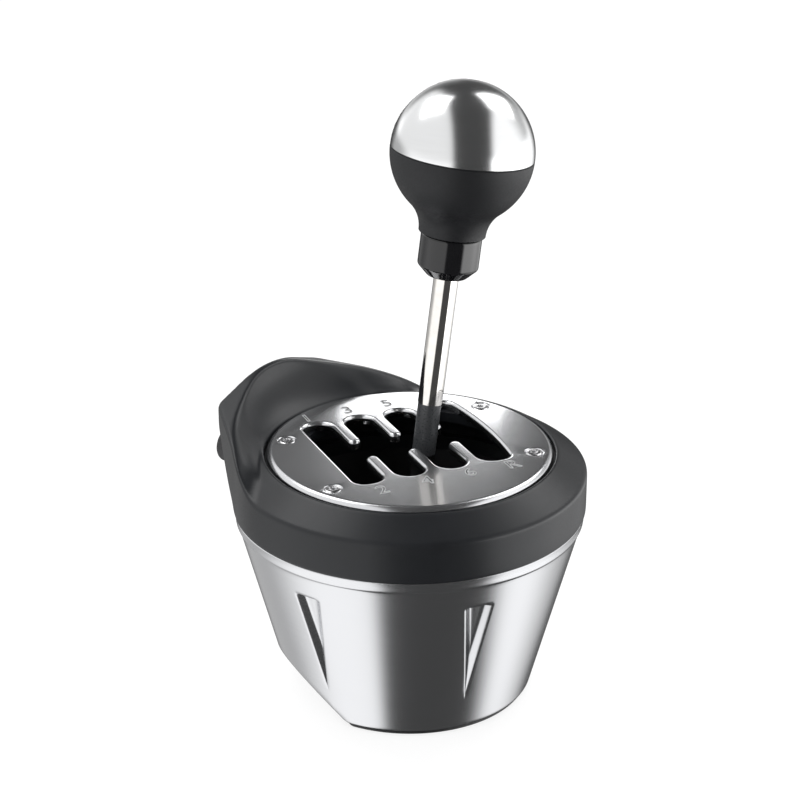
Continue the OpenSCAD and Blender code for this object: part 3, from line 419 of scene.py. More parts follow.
SHOULDER_Z = CROWN_Z - CROWN_R + CROWN_R * math.cos(SHOULDER_ANGLE)
SHOULDER_SLOPE = math.tan(SHOULDER_ANGLE)
TAIL_FOOT = WALL_R * math.cos(TAIL_ANGLE)
FLANK_Z = SHOULDER_Z - (WALL_R * math.sin(FLANK_ANGLE) - CROWN_HALF_W) * SHOULDER_SLOPE
TAIL_SLOPE = (FLANK_Z - RIM_Z) / (WALL_R * math.cos(FLANK_ANGLE) - TAIL_FOOT)
COLLAR_ROWS = 130
COLLAR_EDGE = 2.0
PLAN_BLEND = 2.5
FLARE_BLEND = 1.5
ROUND_BLEND = 0.8
TAIL_BLEND = 8.0
SCOOP_BLEND = 3.0
SCOOP_END_BLEND = 6.0
SCOOP_END_U = 20.0
SCOOP_END_RUN = 18.0
BEVEL_BLEND = 0.3
BEVEL_FAR_BLEND = 6.0
BEVEL_FAR_RUN = 5.0
END_TRIES = 40
TOP_POINTS = 700
WALL_POINTS = 300
SEAM_RETURN = 1.5
RIM_WALL = 1.5
POCKET_LIFT = 0.1
REAR_SPAN = 70
REAR_STEP = 0.5
FRONT_STEP = 1.0


def wall_plan(phi):
    """Radius of the rear wall's plan: a flat rear face and two flat flanks that meet the round wall."""
    a = abs(phi)
    if a >= FLANK_ANGLE:
        return WALL_R
    return soft_min(REAR_D / math.cos(a), WALL_R / math.cos(FLANK_ANGLE - a), PLAN_BLEND)


def collar_radius(z, plan):
    """Radius of the collar's outer wall: round below, flaring out to the rear wall's plan above."""
    flare = WALL_R + REAR_FLARE * (z - SEAM_Z)
    return soft_max(COLLAR_R + 0 * z, soft_min(plan + 0 * z, flare, FLARE_BLEND), ROUND_BLEND)


def collar_top(r, phi):
    """Height of the collar's upper side: the bevel, and the rear wall with its scoop."""
    u, w = np.abs(r * math.sin(phi)), r * math.cos(phi)
    bevel = np.minimum(BEVEL_TOP_Z, BEVEL_TOP_Z - BEVEL_SLOPE * (r - BEVEL_TOP_R))
    arch = np.where(u < CROWN_HALF_W,
                    CROWN_Z - CROWN_R + np.sqrt(CROWN_R ** 2 - np.minimum(u, CROWN_HALF_W) ** 2),
                    SHOULDER_Z - (u - CROWN_HALF_W) * SHOULDER_SLOPE)
    tail = RIM_Z + TAIL_SLOPE * (w - TAIL_FOOT)
    bowl = SCOOP_MID_Z - np.sqrt(np.maximum(SCOOP_R ** 2 - (r - SCOOP_MID_R) ** 2, 0))
    scoop = np.where(r < SCOOP_WALL_R, bowl, 2 * CROWN_Z)
    scoop_blend = SCOOP_BLEND + SCOOP_END_BLEND * ease((u - SCOOP_END_U) / SCOOP_END_RUN)
    wall = soft_min(soft_min(arch, tail, TAIL_BLEND), scoop, scoop_blend)
    bevel_blend = BEVEL_BLEND + BEVEL_FAR_BLEND * ease((r - BEVEL_TOP_R) / BEVEL_FAR_RUN)
    return soft_max(bevel, wall, bevel_blend)


def collar_section(phi):
    """The collar's section at an angle: pocket edge, top, outer wall, then its plain inner side."""
    plan = wall_plan(phi)
    r_end = COLLAR_R
    for _ in range(END_TRIES):
        r_end = float(collar_radius(collar_top(r_end, phi), plan))
    r_top = np.linspace(POCKET_R, r_end, TOP_POINTS)
    z_top = collar_top(r_top, phi)
    z_wall = np.linspace(z_top[-1], SEAM_Z, WALL_POINTS)[1:]
    r_wall = collar_radius(z_wall, plan)
    line_r = np.concatenate([[POCKET_R], r_top, r_wall, [r_wall[-1] - SEAM_RETURN]])
    line_z = np.concatenate([[PLATE_Z0 + POCKET_LIFT], z_top, z_wall, [SEAM_Z]])
    r, z = rounded_line(line_r, line_z, COLLAR_EDGE, COLLAR_ROWS)
    inner = [(SPIGOT_R, SEAM_Z), (SPIGOT_R, SEAM_Z - SPIGOT_H),
             (SPIGOT_R - SPIGOT_WALL, SEAM_Z - SPIGOT_H), (SPIGOT_R - SPIGOT_WALL, SEAM_Z + SPIGOT_WALL),
             (COLLAR_INNER_R, SEAM_Z + SPIGOT_WALL), (COLLAR_INNER_R, RIM_Z - RIM_WALL),
             (POCKET_R, PLATE_Z0 - SEAT_T), (SEAT_R, PLATE_Z0 - SEAT_T), (SEAT_R, PLATE_Z0),
             (POCKET_R, PLATE_Z0)]
    return np.concatenate([r, [p[0] for p in inner]]), np.concatenate([z, [p[1] for p in inner]])


def make_collar():
    wall = np.radians(np.arange(-REAR_SPAN, REAR_SPAN, REAR_STEP))
    front = np.radians(np.arange(REAR_SPAN, 360 - REAR_SPAN, FRONT_STEP))
    angles = np.concatenate([wall, front])
    verts = []
    for phi in angles:
        turned_phi = (phi + math.pi) % (2 * math.pi) - math.pi
        r, z = collar_section(turned_phi)
        verts.append(body_points(r, phi, z))
    rows = len(verts[0])
    mesh_object("collar_moulded", np.concatenate(verts).tolist(), ring_faces(len(angles), rows),
                [collar_plastic], "housing", "top_collar")


make_collar()


# Metal shell: a cone with V recesses, a lip, slanted cuts and the window of the sockets

VALLEY_DEPTH = RECESS_DEPTH * RECESS_HALF_W / (RECESS_HALF_W - RECESS_FLOOR_HALF_W)
RECESS_BAND = math.radians(9)
WINDOW_BAND = math.radians(24)
RECESS_END = 1.3
THIN = 0.35
RECESS_FLOOR_BLEND = 0.5
RECESS_EDGE_BLEND = 0.35
RECESS_OUTSIDE = -0.4
WINDOW_SHARES = (0.25, 0.5, 0.75, 1.0)
COLUMN_STEP = 1.5
SLANT_MIN_COS = 0.2
SLANT_BLEND = 1.2
SLANT_INNER_BLEND = 0.2
NO_SLANT = 1000.0
LIP_TOP_BLEND = 0.5
LIP_FOOT_BLEND = 0.4
BRIM = 0.25
SHELL_SHARP = 50


def shell_cone(z):
    return SHELL_BASE_R + SHELL_SLOPE * (z - PAD_T)


def recess_rise(z):
    """How far up a V recess a height lies: 0 at its lower point, 1 at its upper edge."""
    return np.clip((z - RECESS_TIP_Z) / (RECESS_TOP_Z - RECESS_TIP_Z), 0, 1)


def recess_lines(z):
    """Offsets from a recess's middle of the mesh's lines, which follow its floor and edges."""
    half = max(RECESS_HALF_W * recess_rise(z), THIN)
    floor = max(half - RECESS_HALF_W * RECESS_DEPTH / VALLEY_DEPTH, 0.08 * half)
    wall = half - floor
    near = [0.4 * floor, 0.8 * floor, floor, floor + 0.1 * wall, floor + 0.25 * wall, floor + 0.5 * wall,
            half - 0.25 * wall, half - 0.1 * wall, half, half + 0.1 * wall, half + 0.25 * wall]
    far = RECESS_BAND * shell_cone(z)
    spread_out = [near[-1] + (far - near[-1]) * t for t in (0.15, 0.4, 0.7)]
    side = near + spread_out
    return [-s for s in reversed(side)] + [0.0] + side


def shell_angles(z):
    """Angles of the mesh's columns at a height, dense round the recesses and the window."""
    r = shell_cone(z)
    window = [WINDOW_HALF_W * t for t in WINDOW_SHARES]
    window_side = [math.asin(u / r) for u in window]
    window_side += [window_side[-1] + (WINDOW_BAND - window_side[-1]) * t for t in (0.08, 0.4, 0.7, 1.0)]
    angles = [-a for a in reversed(window_side)] + [0.0] + window_side
    centres = sorted(math.radians(a % 360) for a in RECESS_ANGLES)
    at = WINDOW_BAND
    for centre in centres + [2 * math.pi - WINDOW_BAND + RECESS_BAND]:
        gap = centre - RECESS_BAND - at
        count = max(int(math.degrees(gap) / COLUMN_STEP), 2)
        angles += [at + gap * (i + 1) / count for i in range(count)]
        if centre in centres:
            angles += [centre + s / r for s in recess_lines(z)]
            angles.append(centre + RECESS_BAND)
            at = centre + RECESS_BAND
    return np.array(angles[:-1])


def recess_depth(phi, z):
    """Depth of the V recesses at an angle and a height."""
    depth = np.zeros_like(phi)
    rise = recess_rise(z)
    if rise <= 0 or z >= RECESS_TOP_Z:
        return depth
    valley = VALLEY_DEPTH * rise
    half = RECESS_HALF_W * rise
    fade = min(1.0, (RECESS_TOP_Z - z) / RECESS_END)
    for centre in RECESS_ANGLES:
        turn = (phi - math.radians(centre) + math.pi) % (2 * math.pi) - math.pi
        groove = valley * (1 - np.abs(turn) * shell_cone(z) / half)
        cut = soft_min(groove, RECESS_DEPTH + 0 * groove, RECESS_FLOOR_BLEND)
        cut = soft_max(cut, 0 * groove, RECESS_EDGE_BLEND)
        depth = np.maximum(depth, np.where(groove < RECESS_OUTSIDE, 0, cut) * fade)
    return depth


def slanted(r, phi, z, inward, blend):
    """A radius, cut back by the slanted planes on both sides of the clamp side."""
    for side in (-1, 1):
        turn = np.cos(phi - side * SLANT_ANGLE)
        reach = (SLANT_D - inward + SLANT_RATE * z) / np.maximum(turn, SLANT_MIN_COS)
        plane = np.where(turn > SLANT_MIN_COS, reach, NO_SLANT)
        r = soft_min(r, plane, blend)
    return r


def shell_outer(phi, z):
    cone = shell_cone(z)
    lip = soft_max(cone, soft_min(LIP_R, SHELL_TOP_R + z - LIP_Z, LIP_TOP_BLEND), LIP_FOOT_BLEND)
    foot = max(SHELL_CHAMFER - (z - PAD_T), 0)
    edge = SHELL_CHAMFER - math.sqrt(max(SHELL_CHAMFER ** 2 - foot ** 2, 0))
    brim = BRIM * max(1 - (SEAM_Z - z) / BRIM, 0)
    return slanted(lip - edge - brim - recess_depth(phi, z), phi, z, 0, SLANT_BLEND)


def shell_inner(phi, z):
    cone = np.minimum(shell_cone(z), LIP_R) - SHELL_WALL
    wall = SHELL_WALL * math.sqrt(1 + SLANT_RATE ** 2)
    return slanted(cone + 0 * phi, phi, z, wall, SLANT_INNER_BLEND)


def shell_heights():
    foot = [PAD_T + SHELL_CHAMFER * t for t in (0, 0.08, 0.3, 0.6, 1.0)]
    low = np.arange(3.6, WINDOW_Z0, 1.3).tolist() + [WINDOW_Z0]
    window = np.linspace(WINDOW_Z0, WINDOW_Z1, 14)[1:].tolist()
    middle = np.linspace(WINDOW_Z1, RECESS_TOP_Z - RECESS_END - 0.6, 22)[1:].tolist()
    recess_end = [RECESS_TOP_Z - RECESS_END * t for t in (1.15, 1.0, 0.85, 0.5, 0.15, 0.0)]
    upper = np.linspace(RECESS_TOP_Z, LIP_Z - 0.5, 8)[1:].tolist()
    lip = [LIP_Z + t for t in (-0.2, 0.0, 0.2, 0.4, 0.6, 0.8, 1.0, 1.3)]
    brim = np.linspace(LIP_Z + 1.3, SEAM_Z - 0.4, 4)[1:].tolist() + [SEAM_Z - 0.25, SEAM_Z - 0.1, SEAM_Z]
    return foot + low + window + middle + recess_end + upper + lip + brim


def make_shell():
    heights = shell_heights()
    outer, inner = [], []
    for z in heights:
        phi = shell_angles(z)
        outer.append(body_points(shell_outer(phi, z), phi, z))
        inner.append(body_points(shell_inner(phi, z), phi, z))
    rows, columns = len(heights), len(outer[0])
    window_rows = (heights.index(WINDOW_Z0), heights.index(WINDOW_Z1))
    middle = int(np.argmin(np.abs(shell_angles(WINDOW_Z0))))
    window_columns = (middle - len(WINDOW_SHARES), middle + len(WINDOW_SHARES))
    faces, face_mats = [], []

    def vert(side, row, column):
        return (side * rows + row) * columns + column % columns

    def quad(a, b, c, d, mat):
        faces.append((a, b, c, d))
        face_mats.append(mat)

    def in_window(row, column):
        return (window_rows[0] <= row < window_rows[1]) and (window_columns[0] <= column < window_columns[1])

    for k in range(rows - 1):
        for i in range(columns):
            if not in_window(k, i):
                for side in (0, 1):
                    quad(vert(side, k, i), vert(side, k, i + 1), vert(side, k + 1, i + 1),
                         vert(side, k + 1, i), side)
    for i in range(columns):
        for k in (0, rows - 1):
            quad(vert(0, k, i), vert(1, k, i), vert(1, k, i + 1), vert(0, k, i + 1), 0)
    for i in range(*window_columns):
        for k in window_rows:
            quad(vert(0, k, i), vert(0, k, i + 1), vert(1, k, i + 1), vert(1, k, i), 0)
    for k in range(*window_rows):
        for i in window_columns:
            quad(vert(0, k, i), vert(0, k + 1, i), vert(1, k + 1, i), vert(1, k, i), 0)
    verts = np.concatenate(outer + inner).tolist()
    mesh_object("shell_brushed", verts, faces, [shell_metal, shell_inside], "housing",
                "metal_shell", face_mats, SHELL_SHARP)


make_shell()


# Desk pads: rubber blocks with round ends and a ribbed, rounded face

PAD_EDGE_R = 1.6
PAD_RIB_DEPTH = 0.35
PAD_RIB_PITCH = 1.7
PAD_RIB_ROWS = 26
PAD_RIB_START = PAD_EDGE_R + 0.3
PAD_MIDDLE = 0.3
PAD_SINK = 0.4
PAD_EDGE_STEPS = 6
PAD_END_STEPS = 24


def pad_outline(half_w, height, inset):
    """Half-round ends and straight sides, moved inward; points (u, v) round the pad's middle."""
    r = height / 2
    points = []
    for side in (1, -1):
        for i in range(PAD_END_STEPS + 1):
            a = math.pi * i / PAD_END_STEPS - math.pi / 2
            points.append((side * (half_w - r + (r - inset) * math.cos(a)), side * (r - inset) * math.sin(a)))
    return points


def make_pad(name, node, size, surface):
    """A pad on the clamp side; surface gives the distance of what it sits on, from u and z."""
    half_w, height, mid_z, face_d = size
    rims = [(0.0, None), (0.0, face_d - PAD_EDGE_R)]
    for i in range(1, PAD_EDGE_STEPS + 1):
        a = math.pi / 2 * i / PAD_EDGE_STEPS
        rims.append((PAD_EDGE_R * (1 - math.cos(a)), face_d - PAD_EDGE_R + PAD_EDGE_R * math.sin(a)))
    for inset in np.linspace(PAD_RIB_START, height / 2 - PAD_MIDDLE, PAD_RIB_ROWS):
        wave = 0.5 - 0.5 * math.cos(2 * math.pi * (inset - PAD_RIB_START) / PAD_RIB_PITCH)
        rims.append((inset, face_d - PAD_RIB_DEPTH * wave))
    verts = []
    for inset, d in rims:
        for u, v in pad_outline(half_w, height, inset):
            w = surface(u, mid_z + v) - PAD_SINK if d is None else d
            verts.append((u, w, mid_z + v))
    count = len(pad_outline(half_w, height, 0))
    faces = []
    for k in range(len(rims) - 1):
        for i in range(count):
            j = (i + 1) % count
            faces.append((k * count + i, k * count + j, (k + 1) * count + j, (k + 1) * count + i))
    faces.append(tuple(range(count)))
    faces.append(tuple((len(rims) - 1) * count + i for i in range(count)))
    flat = np.array(verts)
    placed = body_points(np.hypot(flat[:, 0], flat[:, 1]), np.arctan2(flat[:, 0], flat[:, 1]), flat[:, 2])
    mesh_object(name, placed.tolist(), faces, [pad_rubber], "housing", node)


def collar_surface(u, z):
    phi = 0.0
    for _ in range(20):
        r = float(collar_radius(np.array(z), wall_plan(phi)))
        phi = math.asin(max(-1, min(1, u / r)))
    return r * math.cos(phi)


def shell_surface(u, z):
    return math.sqrt(shell_cone(z) ** 2 - u ** 2)


make_pad("upper_pad_ribbed", "upper_desk_pad", UPPER_PAD, collar_surface)
make_pad("lower_pad_ribbed", "lower_desk_pad", LOWER_PAD, shell_surface)


# Knob: the moulded grip, drawn in to its neck, and the gloss ferrule

KNOB_SIDES = 160
FINE_STEP = 0.05
GRIP_RETURN = 2.0
GRIP_SOFT = 0.2
GRIP_POINTS = 420
GRIP_BORE_R = ROD_R + 0.3
GRIP_FLOOR = 1.0
FERRULE_SOFT = 1.0
FERRULE_POINTS = 160
FERRULE_BORE_R = ROD_R + 0.15
FERRULE_TOP_EDGE = 0.8
FERRULE_TOP = FERRULE_H - 0.1


def lathe(name, line, mat, replaced):
    """A body of revolution round the lever at rest, from its section's closed line of (r, s)."""
    r, s = np.array(line).T
    verts = [lever_points(r, 2 * math.pi * i / KNOB_SIDES, s) for i in range(KNOB_SIDES)]
    mesh_object(name, np.concatenate(verts).tolist(), ring_faces(KNOB_SIDES, len(r)), [mat], "lever",
                replaced)


def make_grip():
    flare_r = (NECK_R ** 2 + NECK_DROP ** 2 - BALL_R ** 2) / (2 * (BALL_R - NECK_R))
    flare_mid = NECK_R + flare_r
    meet = math.atan2(NECK_DROP, flare_mid)
    ball = [(BALL_R * math.cos(a), -BALL_R * math.sin(a))
            for a in np.linspace(math.asin(KNOB_SEAM / 2 / BALL_R), meet, 90)]
    flare = [(flare_mid - flare_r * math.cos(a), -NECK_DROP + flare_r * math.sin(a))
             for a in np.linspace(meet, 0, 60)[1:]]
    half_seam = KNOB_SEAM / 2
    lip = [(BALL_R - GRIP_RETURN, half_seam), (BALL_R - SEAM_DEPTH, half_seam),
           (BALL_R - SEAM_DEPTH, -half_seam)]
    line = np.array(lip + ball + flare + [(NECK_R - GRIP_RETURN, -NECK_DROP)])
    r, s = rounded_line(line[:, 0], line[:, 1], GRIP_SOFT, GRIP_POINTS, FINE_STEP)
    inner = [(GRIP_BORE_R, -NECK_DROP), (GRIP_BORE_R, -NECK_DROP + GRIP_FLOOR),
             (INSERT_R, -NECK_DROP + GRIP_FLOOR), (INSERT_R, -half_seam), (BALL_R - GRIP_RETURN, -half_seam)]
    lathe("grip_moulded", [(a, BALL_AT + b) for a, b in list(zip(r, s)) + inner], grip_rubber,
          "knob_grip")


def make_ferrule():
    line = np.array([(FERRULE_BORE_R, 0), (FERRULE_R - FERRULE_CHAMFER, 0), (FERRULE_R, FERRULE_CHAMFER),
                     (FERRULE_R, FERRULE_H - FERRULE_TOP_EDGE), (FERRULE_R - FERRULE_TOP_EDGE, FERRULE_TOP),
                     (FERRULE_BORE_R, FERRULE_TOP)])
    r, s = rounded_line(line[:, 0], line[:, 1], FERRULE_SOFT, FERRULE_POINTS, FINE_STEP)
    lathe("ferrule_turned", [(a, FERRULE_AT + b) for a, b in zip(r, s)], ferrule_gloss,
          "knob_ferrule")


make_grip()
make_ferrule()


# Plunger spring: a wound wire inside the lever's hub, made at one length; on the real part it shortens as the
# plunger slides up

SPRING_R = 2.3
SPRING_WIRE_R = 0.35
SPRING_S0 = -9.95
SPRING_S1 = -5.7
SPRING_TURNS = 3.5
SPRING_RINGS = 98
SPRING_SIDES = 12


def make_spring():
    n = SPRING_SIDES
    t = np.repeat(np.arange(SPRING_RINGS + 1) / SPRING_RINGS, n)
    turn = np.tile(np.arange(n) * 2 * np.pi / n, SPRING_RINGS + 1)
    s = SPRING_S0 + (SPRING_S1 - SPRING_S0) * t + SPRING_WIRE_R * np.sin(turn)
    verts = lever_points(SPRING_R + SPRING_WIRE_R * np.cos(turn), 2 * np.pi * SPRING_TURNS * t, s)
    faces = [(i * n + j, i * n + (j + 1) % n, (i + 1) * n + (j + 1) % n, (i + 1) * n + j)
             for i in range(SPRING_RINGS) for j in range(n)]
    faces += [tuple(range(n)), tuple(SPRING_RINGS * n + j for j in range(n))]
    spring = mesh_object("plunger_spring_wound", verts.tolist(), faces, [screw_steel], "lever",
                         "plunger_spring")
    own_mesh(spring)


make_spring()


# Gate plate

QUARTER_STEPS = 8
FINGER_STEPS = 14
BOW_STEPS = 24
EDGE_STEPS = 6
RIM_SIDES = 180
SINK_SIDES = 32
SINK_PROFILE = ((SCREW_HOLE_R, PLATE_Z0), (SCREW_HOLE_R, PLATE_Z1 - SCREW_SINK_H),
                (SCREW_SINK_R - 0.15, PLATE_Z1 - 0.2), (SCREW_SINK_R + 0.1, PLATE_Z1))


def arc(cx, cy, r, a0, a1, steps):
    return [Vector((cx + r * math.cos(math.radians(a0 + (a1 - a0) * i / steps)),
                    cy + r * math.sin(math.radians(a0 + (a1 - a0) * i / steps))))
            for i in range(steps + 1)]


def gate_loop():
    """Outline of the gate opening, counter-clockwise, in the gate's own middle."""
    edge = COLUMNS[3] + SLOT_HALF_W
    end_y = SLOT_REACH - SLOT_HALF_W
    tip_y = CHANNEL_HALF_W + FINGER_R
    bow_r = (SLOT_REACH ** 2 + GATE_BOW ** 2) / (2 * GATE_BOW)
    fingers = [(a + b) / 2 for a, b in zip(COLUMNS, COLUMNS[1:])]
    corner_y = SLOT_REACH - CORNER_R
    corner_a = math.asin(corner_y / bow_r)
    bow_y = corner_y + CORNER_R * math.sin(corner_a)
    bow_x = edge + GATE_BOW - bow_r + math.sqrt(bow_r ** 2 - bow_y ** 2)
    bow_a = math.degrees(math.asin(bow_y / bow_r))
    half = arc(-edge + CORNER_R, -corner_y, CORNER_R, 180, 270, QUARTER_STEPS)
    for i, x in enumerate(COLUMNS):
        a0 = 270 if i == 0 else 180
        a1 = 270 if i == 3 else 360
        half += arc(x, -end_y, SLOT_HALF_W, a0, a1, QUARTER_STEPS * (a1 - a0) // 90)
        if i < 3:
            half += arc(fingers[i], -tip_y, FINGER_R, 180, 0, FINGER_STEPS)
    half += arc(bow_x - CORNER_R * math.cos(corner_a), -corner_y, CORNER_R, 270, 360 - bow_a,
                QUARTER_STEPS)
    back = [Vector((p.x, -p.y)) for p in reversed(half)]
    bow = arc(edge + GATE_BOW - bow_r, 0, bow_r, -bow_a, bow_a, BOW_STEPS)
    loop = half + bow + back
    kept = [p for i, p in enumerate(loop) if (p - loop[i - 1]).length > 1e-4]
    return [Vector((p.x, p.y + GATE_Y)) for p in kept]


def offset(loop, d):
    """Moves a counter-clockwise loop outward by d."""
    out = []
    for i, p in enumerate(loop):
        e0 = (p - loop[i - 1]).normalized()
        e1 = (loop[(i + 1) % len(loop)] - p).normalized()
        n0, n1 = Vector((e0.y, -e0.x)), Vector((e1.y, -e1.x))
        n = (n0 + n1).normalized()
        out.append(p + n * (d / max(0.5, n.dot(n0))))
    return out


def flat_object(name, bm, mat, top, bottom):
    """Fills a sheet's two flat sides, each within its own edges, and makes a smooth object of it."""
    for edges in (top, bottom):
        bmesh.ops.triangle_fill(bm, use_beauty=True, use_dissolve=False, edges=edges)
    bmesh.ops.recalc_face_normals(bm, faces=bm.faces)
    mesh = bpy.data.meshes.new(name)
    bm.to_mesh(mesh)
    bm.free()
    for face in mesh.polygons:
        face.use_smooth = True
    obj = bpy.data.objects.new(name, mesh)
    scene.collection.objects.link(obj)
    mesh.materials.append(mat)
    normals = obj.modifiers.new("normals", "WEIGHTED_NORMAL")
    normals.weight = NORMAL_WEIGHT
    return obj


def rings(bm, loops):
    """Bridges a list of (loop, z) with the same number of points; returns the first and last edges."""
    rows = [[bm.verts.new((p.x * MM, p.y * MM, z * MM)) for p in loop] for loop, z in loops]
    for a, b in zip(rows, rows[1:]):
        for i in range(len(a)):
            j = (i + 1) % len(a)
            bm.faces.new((a[i], a[j], b[j], b[i]))
    ends = []
    for row in (rows[0], rows[-1]):
        ends.append([bm.edges.get((row[i], row[(i + 1) % len(row)])) for i in range(len(row))])
    return ends


def edge_profile(loop, r, inward):
    """Rounded upper edge of a wall: from the wall at the plate's top less r to the flat top."""
    sign = -1 if inward else 1
    turns = [math.pi / 2 * i / EDGE_STEPS for i in range(EDGE_STEPS + 1)]
    return [(offset(loop, sign * r * (1 - math.cos(a))), PLATE_Z1 - r + r * math.sin(a)) for a in turns]


def make_gate_plate():
    bm = bmesh.new()
    rim = arc(0, 0, PLATE_R, 0, 360, RIM_SIDES)[:-1]
    gate = gate_loop()
    top, bottom = [], []
    for loop, r, inward in ((rim, PLATE_EDGE_R, True), (gate, SLOT_EDGE_R, False)):
        low, high = rings(bm, [(loop, PLATE_Z0)] + edge_profile(loop, r, inward))
        bottom += low
        top += high
    for a in SCREW_ANGLES:
        x = SCREW_CIRCLE_R * math.cos(math.radians(a - 90))
        y = SCREW_CIRCLE_R * math.sin(math.radians(a - 90))
        low, high = rings(bm, [(arc(x, y, r, 0, 360, SINK_SIDES)[:-1], z) for r, z in SINK_PROFILE])
        bottom += low
        top += high
    obj = flat_object("gate_plate_rounded", bm, plate_steel, top, bottom)
    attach(obj, "housing")
    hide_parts("gate_plate")


make_gate_plate()


# Base pad: a thin rubber sheet with a groove along its edge and openings for what it must not cover

BASE_PAD_R = SHELL_BASE_R - SHELL_CHAMFER
BASE_PAD_INSET = 0.6
BASE_PAD_PROFILE = ((0, PAD_T), (0, 0.4), (0.12, 0.12), (0.4, 0), (1.2, 0), (1.4, 0.3), (2.0, 0.3), (2.2, 0))
BASE_SCREW_CIRCLE_R = SHELL_BASE_R - 8.6
BASE_SCREW_ANGLES = (100, 150, 210, 260)
BASE_SCREW_OPENING_R = 4.5
INSERT_SPACING = 48.0
INSERT_OPENING_R = 3.5
RESISTANCE_OPENING_R = 4.0
BASE_PAD_SIDES = 240
BASE_PAD_BLEND = 0.4
OPENING_SIDES = 40
OPENING_PROFILE = ((0, PAD_T), (0, 0.25), (0.08, 0.08), (0.25, 0))


def base_pad_outline(inset, z):
    turn = np.arange(BASE_PAD_SIDES) * 2 * np.pi / BASE_PAD_SIDES
    phi = CLAMP_SIDE - turn
    turned = (phi + np.pi) % (2 * np.pi) - np.pi
    r = slanted(BASE_PAD_R + 0 * phi, turned, z, BASE_PAD_INSET, BASE_PAD_BLEND) - inset
    return [Vector((a, b)) for a, b in zip(r * np.cos(turn), r * np.sin(turn))]


def make_base_pad():
    holes = [(BASE_SCREW_CIRCLE_R * math.cos(CLAMP_SIDE + math.radians(a)),
              BASE_SCREW_CIRCLE_R * math.sin(CLAMP_SIDE + math.radians(a)), BASE_SCREW_OPENING_R)
             for a in BASE_SCREW_ANGLES]
    holes += [(side * INSERT_SPACING / 2, GATE_Y, INSERT_OPENING_R) for side in (-1, 1)]
    holes.append((0.0, GATE_Y, RESISTANCE_OPENING_R))
    bm = bmesh.new()
    top, bottom = rings(bm, [(base_pad_outline(inset, z), z) for inset, z in BASE_PAD_PROFILE])
    for x, y, r in holes:
        high, low = rings(bm, [(arc(x, y, r + wider, 0, 360, OPENING_SIDES)[:-1], z)
                               for wider, z in OPENING_PROFILE])
        top += high
        bottom += low
    obj = flat_object("base_pad_grooved", bm, pad_rubber, top, bottom)
    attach(obj, "housing")
    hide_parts("base_pad")


make_base_pad()


# Plate screws: domed heads with a six-lobed socket

SCREW_RISE = 0.15
SCREW_SHANK_R = SCREW_HOLE_R - 0.2
# Radius, drop below the head's top, share of the lobes
SCREW_RINGS = ((0.5, 1.0, 0), (1.15, 1.0, 1), (1.25, 0.12, 1), (1.4, 0.0, 0.7), (1.9, 0.02, 0),
               (2.5, 0.09, 0), (3.0, 0.22, 0), (3.3, 0.5, 0), (3.35, 1.0, 0), (SCREW_SHANK_R, 2.5, 0),
               (SCREW_SHANK_R, PLATE_Z1 - PLATE_Z0 + SCREW_RISE, 0))
SCREW_SIDES = 48
SCREW_SHARP = 55
LOBES = 6
LOBE_DEPTH = 0.18


def make_screws():
    verts, faces = [], []
    for a in SCREW_ANGLES:
        turn = math.radians(a - 90)
        x, y = SCREW_CIRCLE_R * math.cos(turn), SCREW_CIRCLE_R * math.sin(turn)
        first = len(verts)
        for r, drop, lobes in SCREW_RINGS:
            for i in range(SCREW_SIDES):
                b = 2 * math.pi * i / SCREW_SIDES
                rr = r + LOBE_DEPTH * lobes * math.cos(LOBES * b)
                verts.append(((x + rr * math.cos(b)) * MM, (y + rr * math.sin(b)) * MM,
                              (PLATE_Z1 + SCREW_RISE - drop) * MM))
        for k in range(len(SCREW_RINGS) - 1):
            for i in range(SCREW_SIDES):
                j = (i + 1) % SCREW_SIDES
                low, high = first + k * SCREW_SIDES, first + (k + 1) * SCREW_SIDES
                faces.append((low + i, low + j, high + j, high + i))
        faces.append(tuple(first + i for i in range(SCREW_SIDES)))
        faces.append(tuple(first + (len(SCREW_RINGS) - 1) * SCREW_SIDES + i for i in range(SCREW_SIDES)))
    mesh_object("plate_screws_domed", verts, faces, [screw_steel], "housing", "plate_screws",
                sharp=SCREW_SHARP)


make_screws()


# Numerals: places on the plate, and how their two parts are made

NUMERALS = {"1": (-26.6, 39.8), "3": (-8.9, 41.0), "5": (8.0, 41.2), "7": (28.0, 39.8),
            "2": (-24.8, -32.0), "4": (-6.4, -31.0), "6": (10.9, -30.8), "R": (28.4, -30.8)}
NUMERAL_SIZE = 8.8
NUMERAL_LINE_R = 0.16
NUMERAL_CURVE_STEPS = 6
NUMERAL_PARTS = (("fill", numeral_dark, "FRONT", 0.03), ("line", numeral_light, "NONE", 0.05))


def make_numeral(char, x, y):
    """An etched numeral: a dark fill with a fine bright outline, just proud of the plate."""
    for part, mat, fill, lift in NUMERAL_PARTS:
        curve = bpy.data.curves.new(f"numeral_{char}_{part}", "FONT")
        curve.body = char
        curve.size = NUMERAL_SIZE * MM
        curve.align_x = "CENTER"
        curve.align_y = "CENTER"
        curve.fill_mode = fill
        curve.resolution_u = NUMERAL_CURVE_STEPS
        if part == "line":
            curve.bevel_depth = NUMERAL_LINE_R * MM
            curve.bevel_resolution = 1
        text = bpy.data.objects.new(f"numeral_{char}_{part}_text", curve)
        scene.collection.objects.link(text)
        bpy.context.view_layer.update()
        mesh = bpy.data.meshes.new_from_object(text.evaluated_get(bpy.context.evaluated_depsgraph_get()))
        bpy.data.objects.remove(text)
        mesh.materials.clear()
        mesh.materials.append(mat)
        obj = bpy.data.objects.new(f"numeral_{char}_{part}", mesh)
        scene.collection.objects.link(obj)
        obj.location = (x * MM, y * MM, (PLATE_Z1 + lift) * MM)
        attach(obj, "housing")


for char, (x, y) in NUMERALS.items():
    make_numeral(char, x, y)


# Camera, floor and light

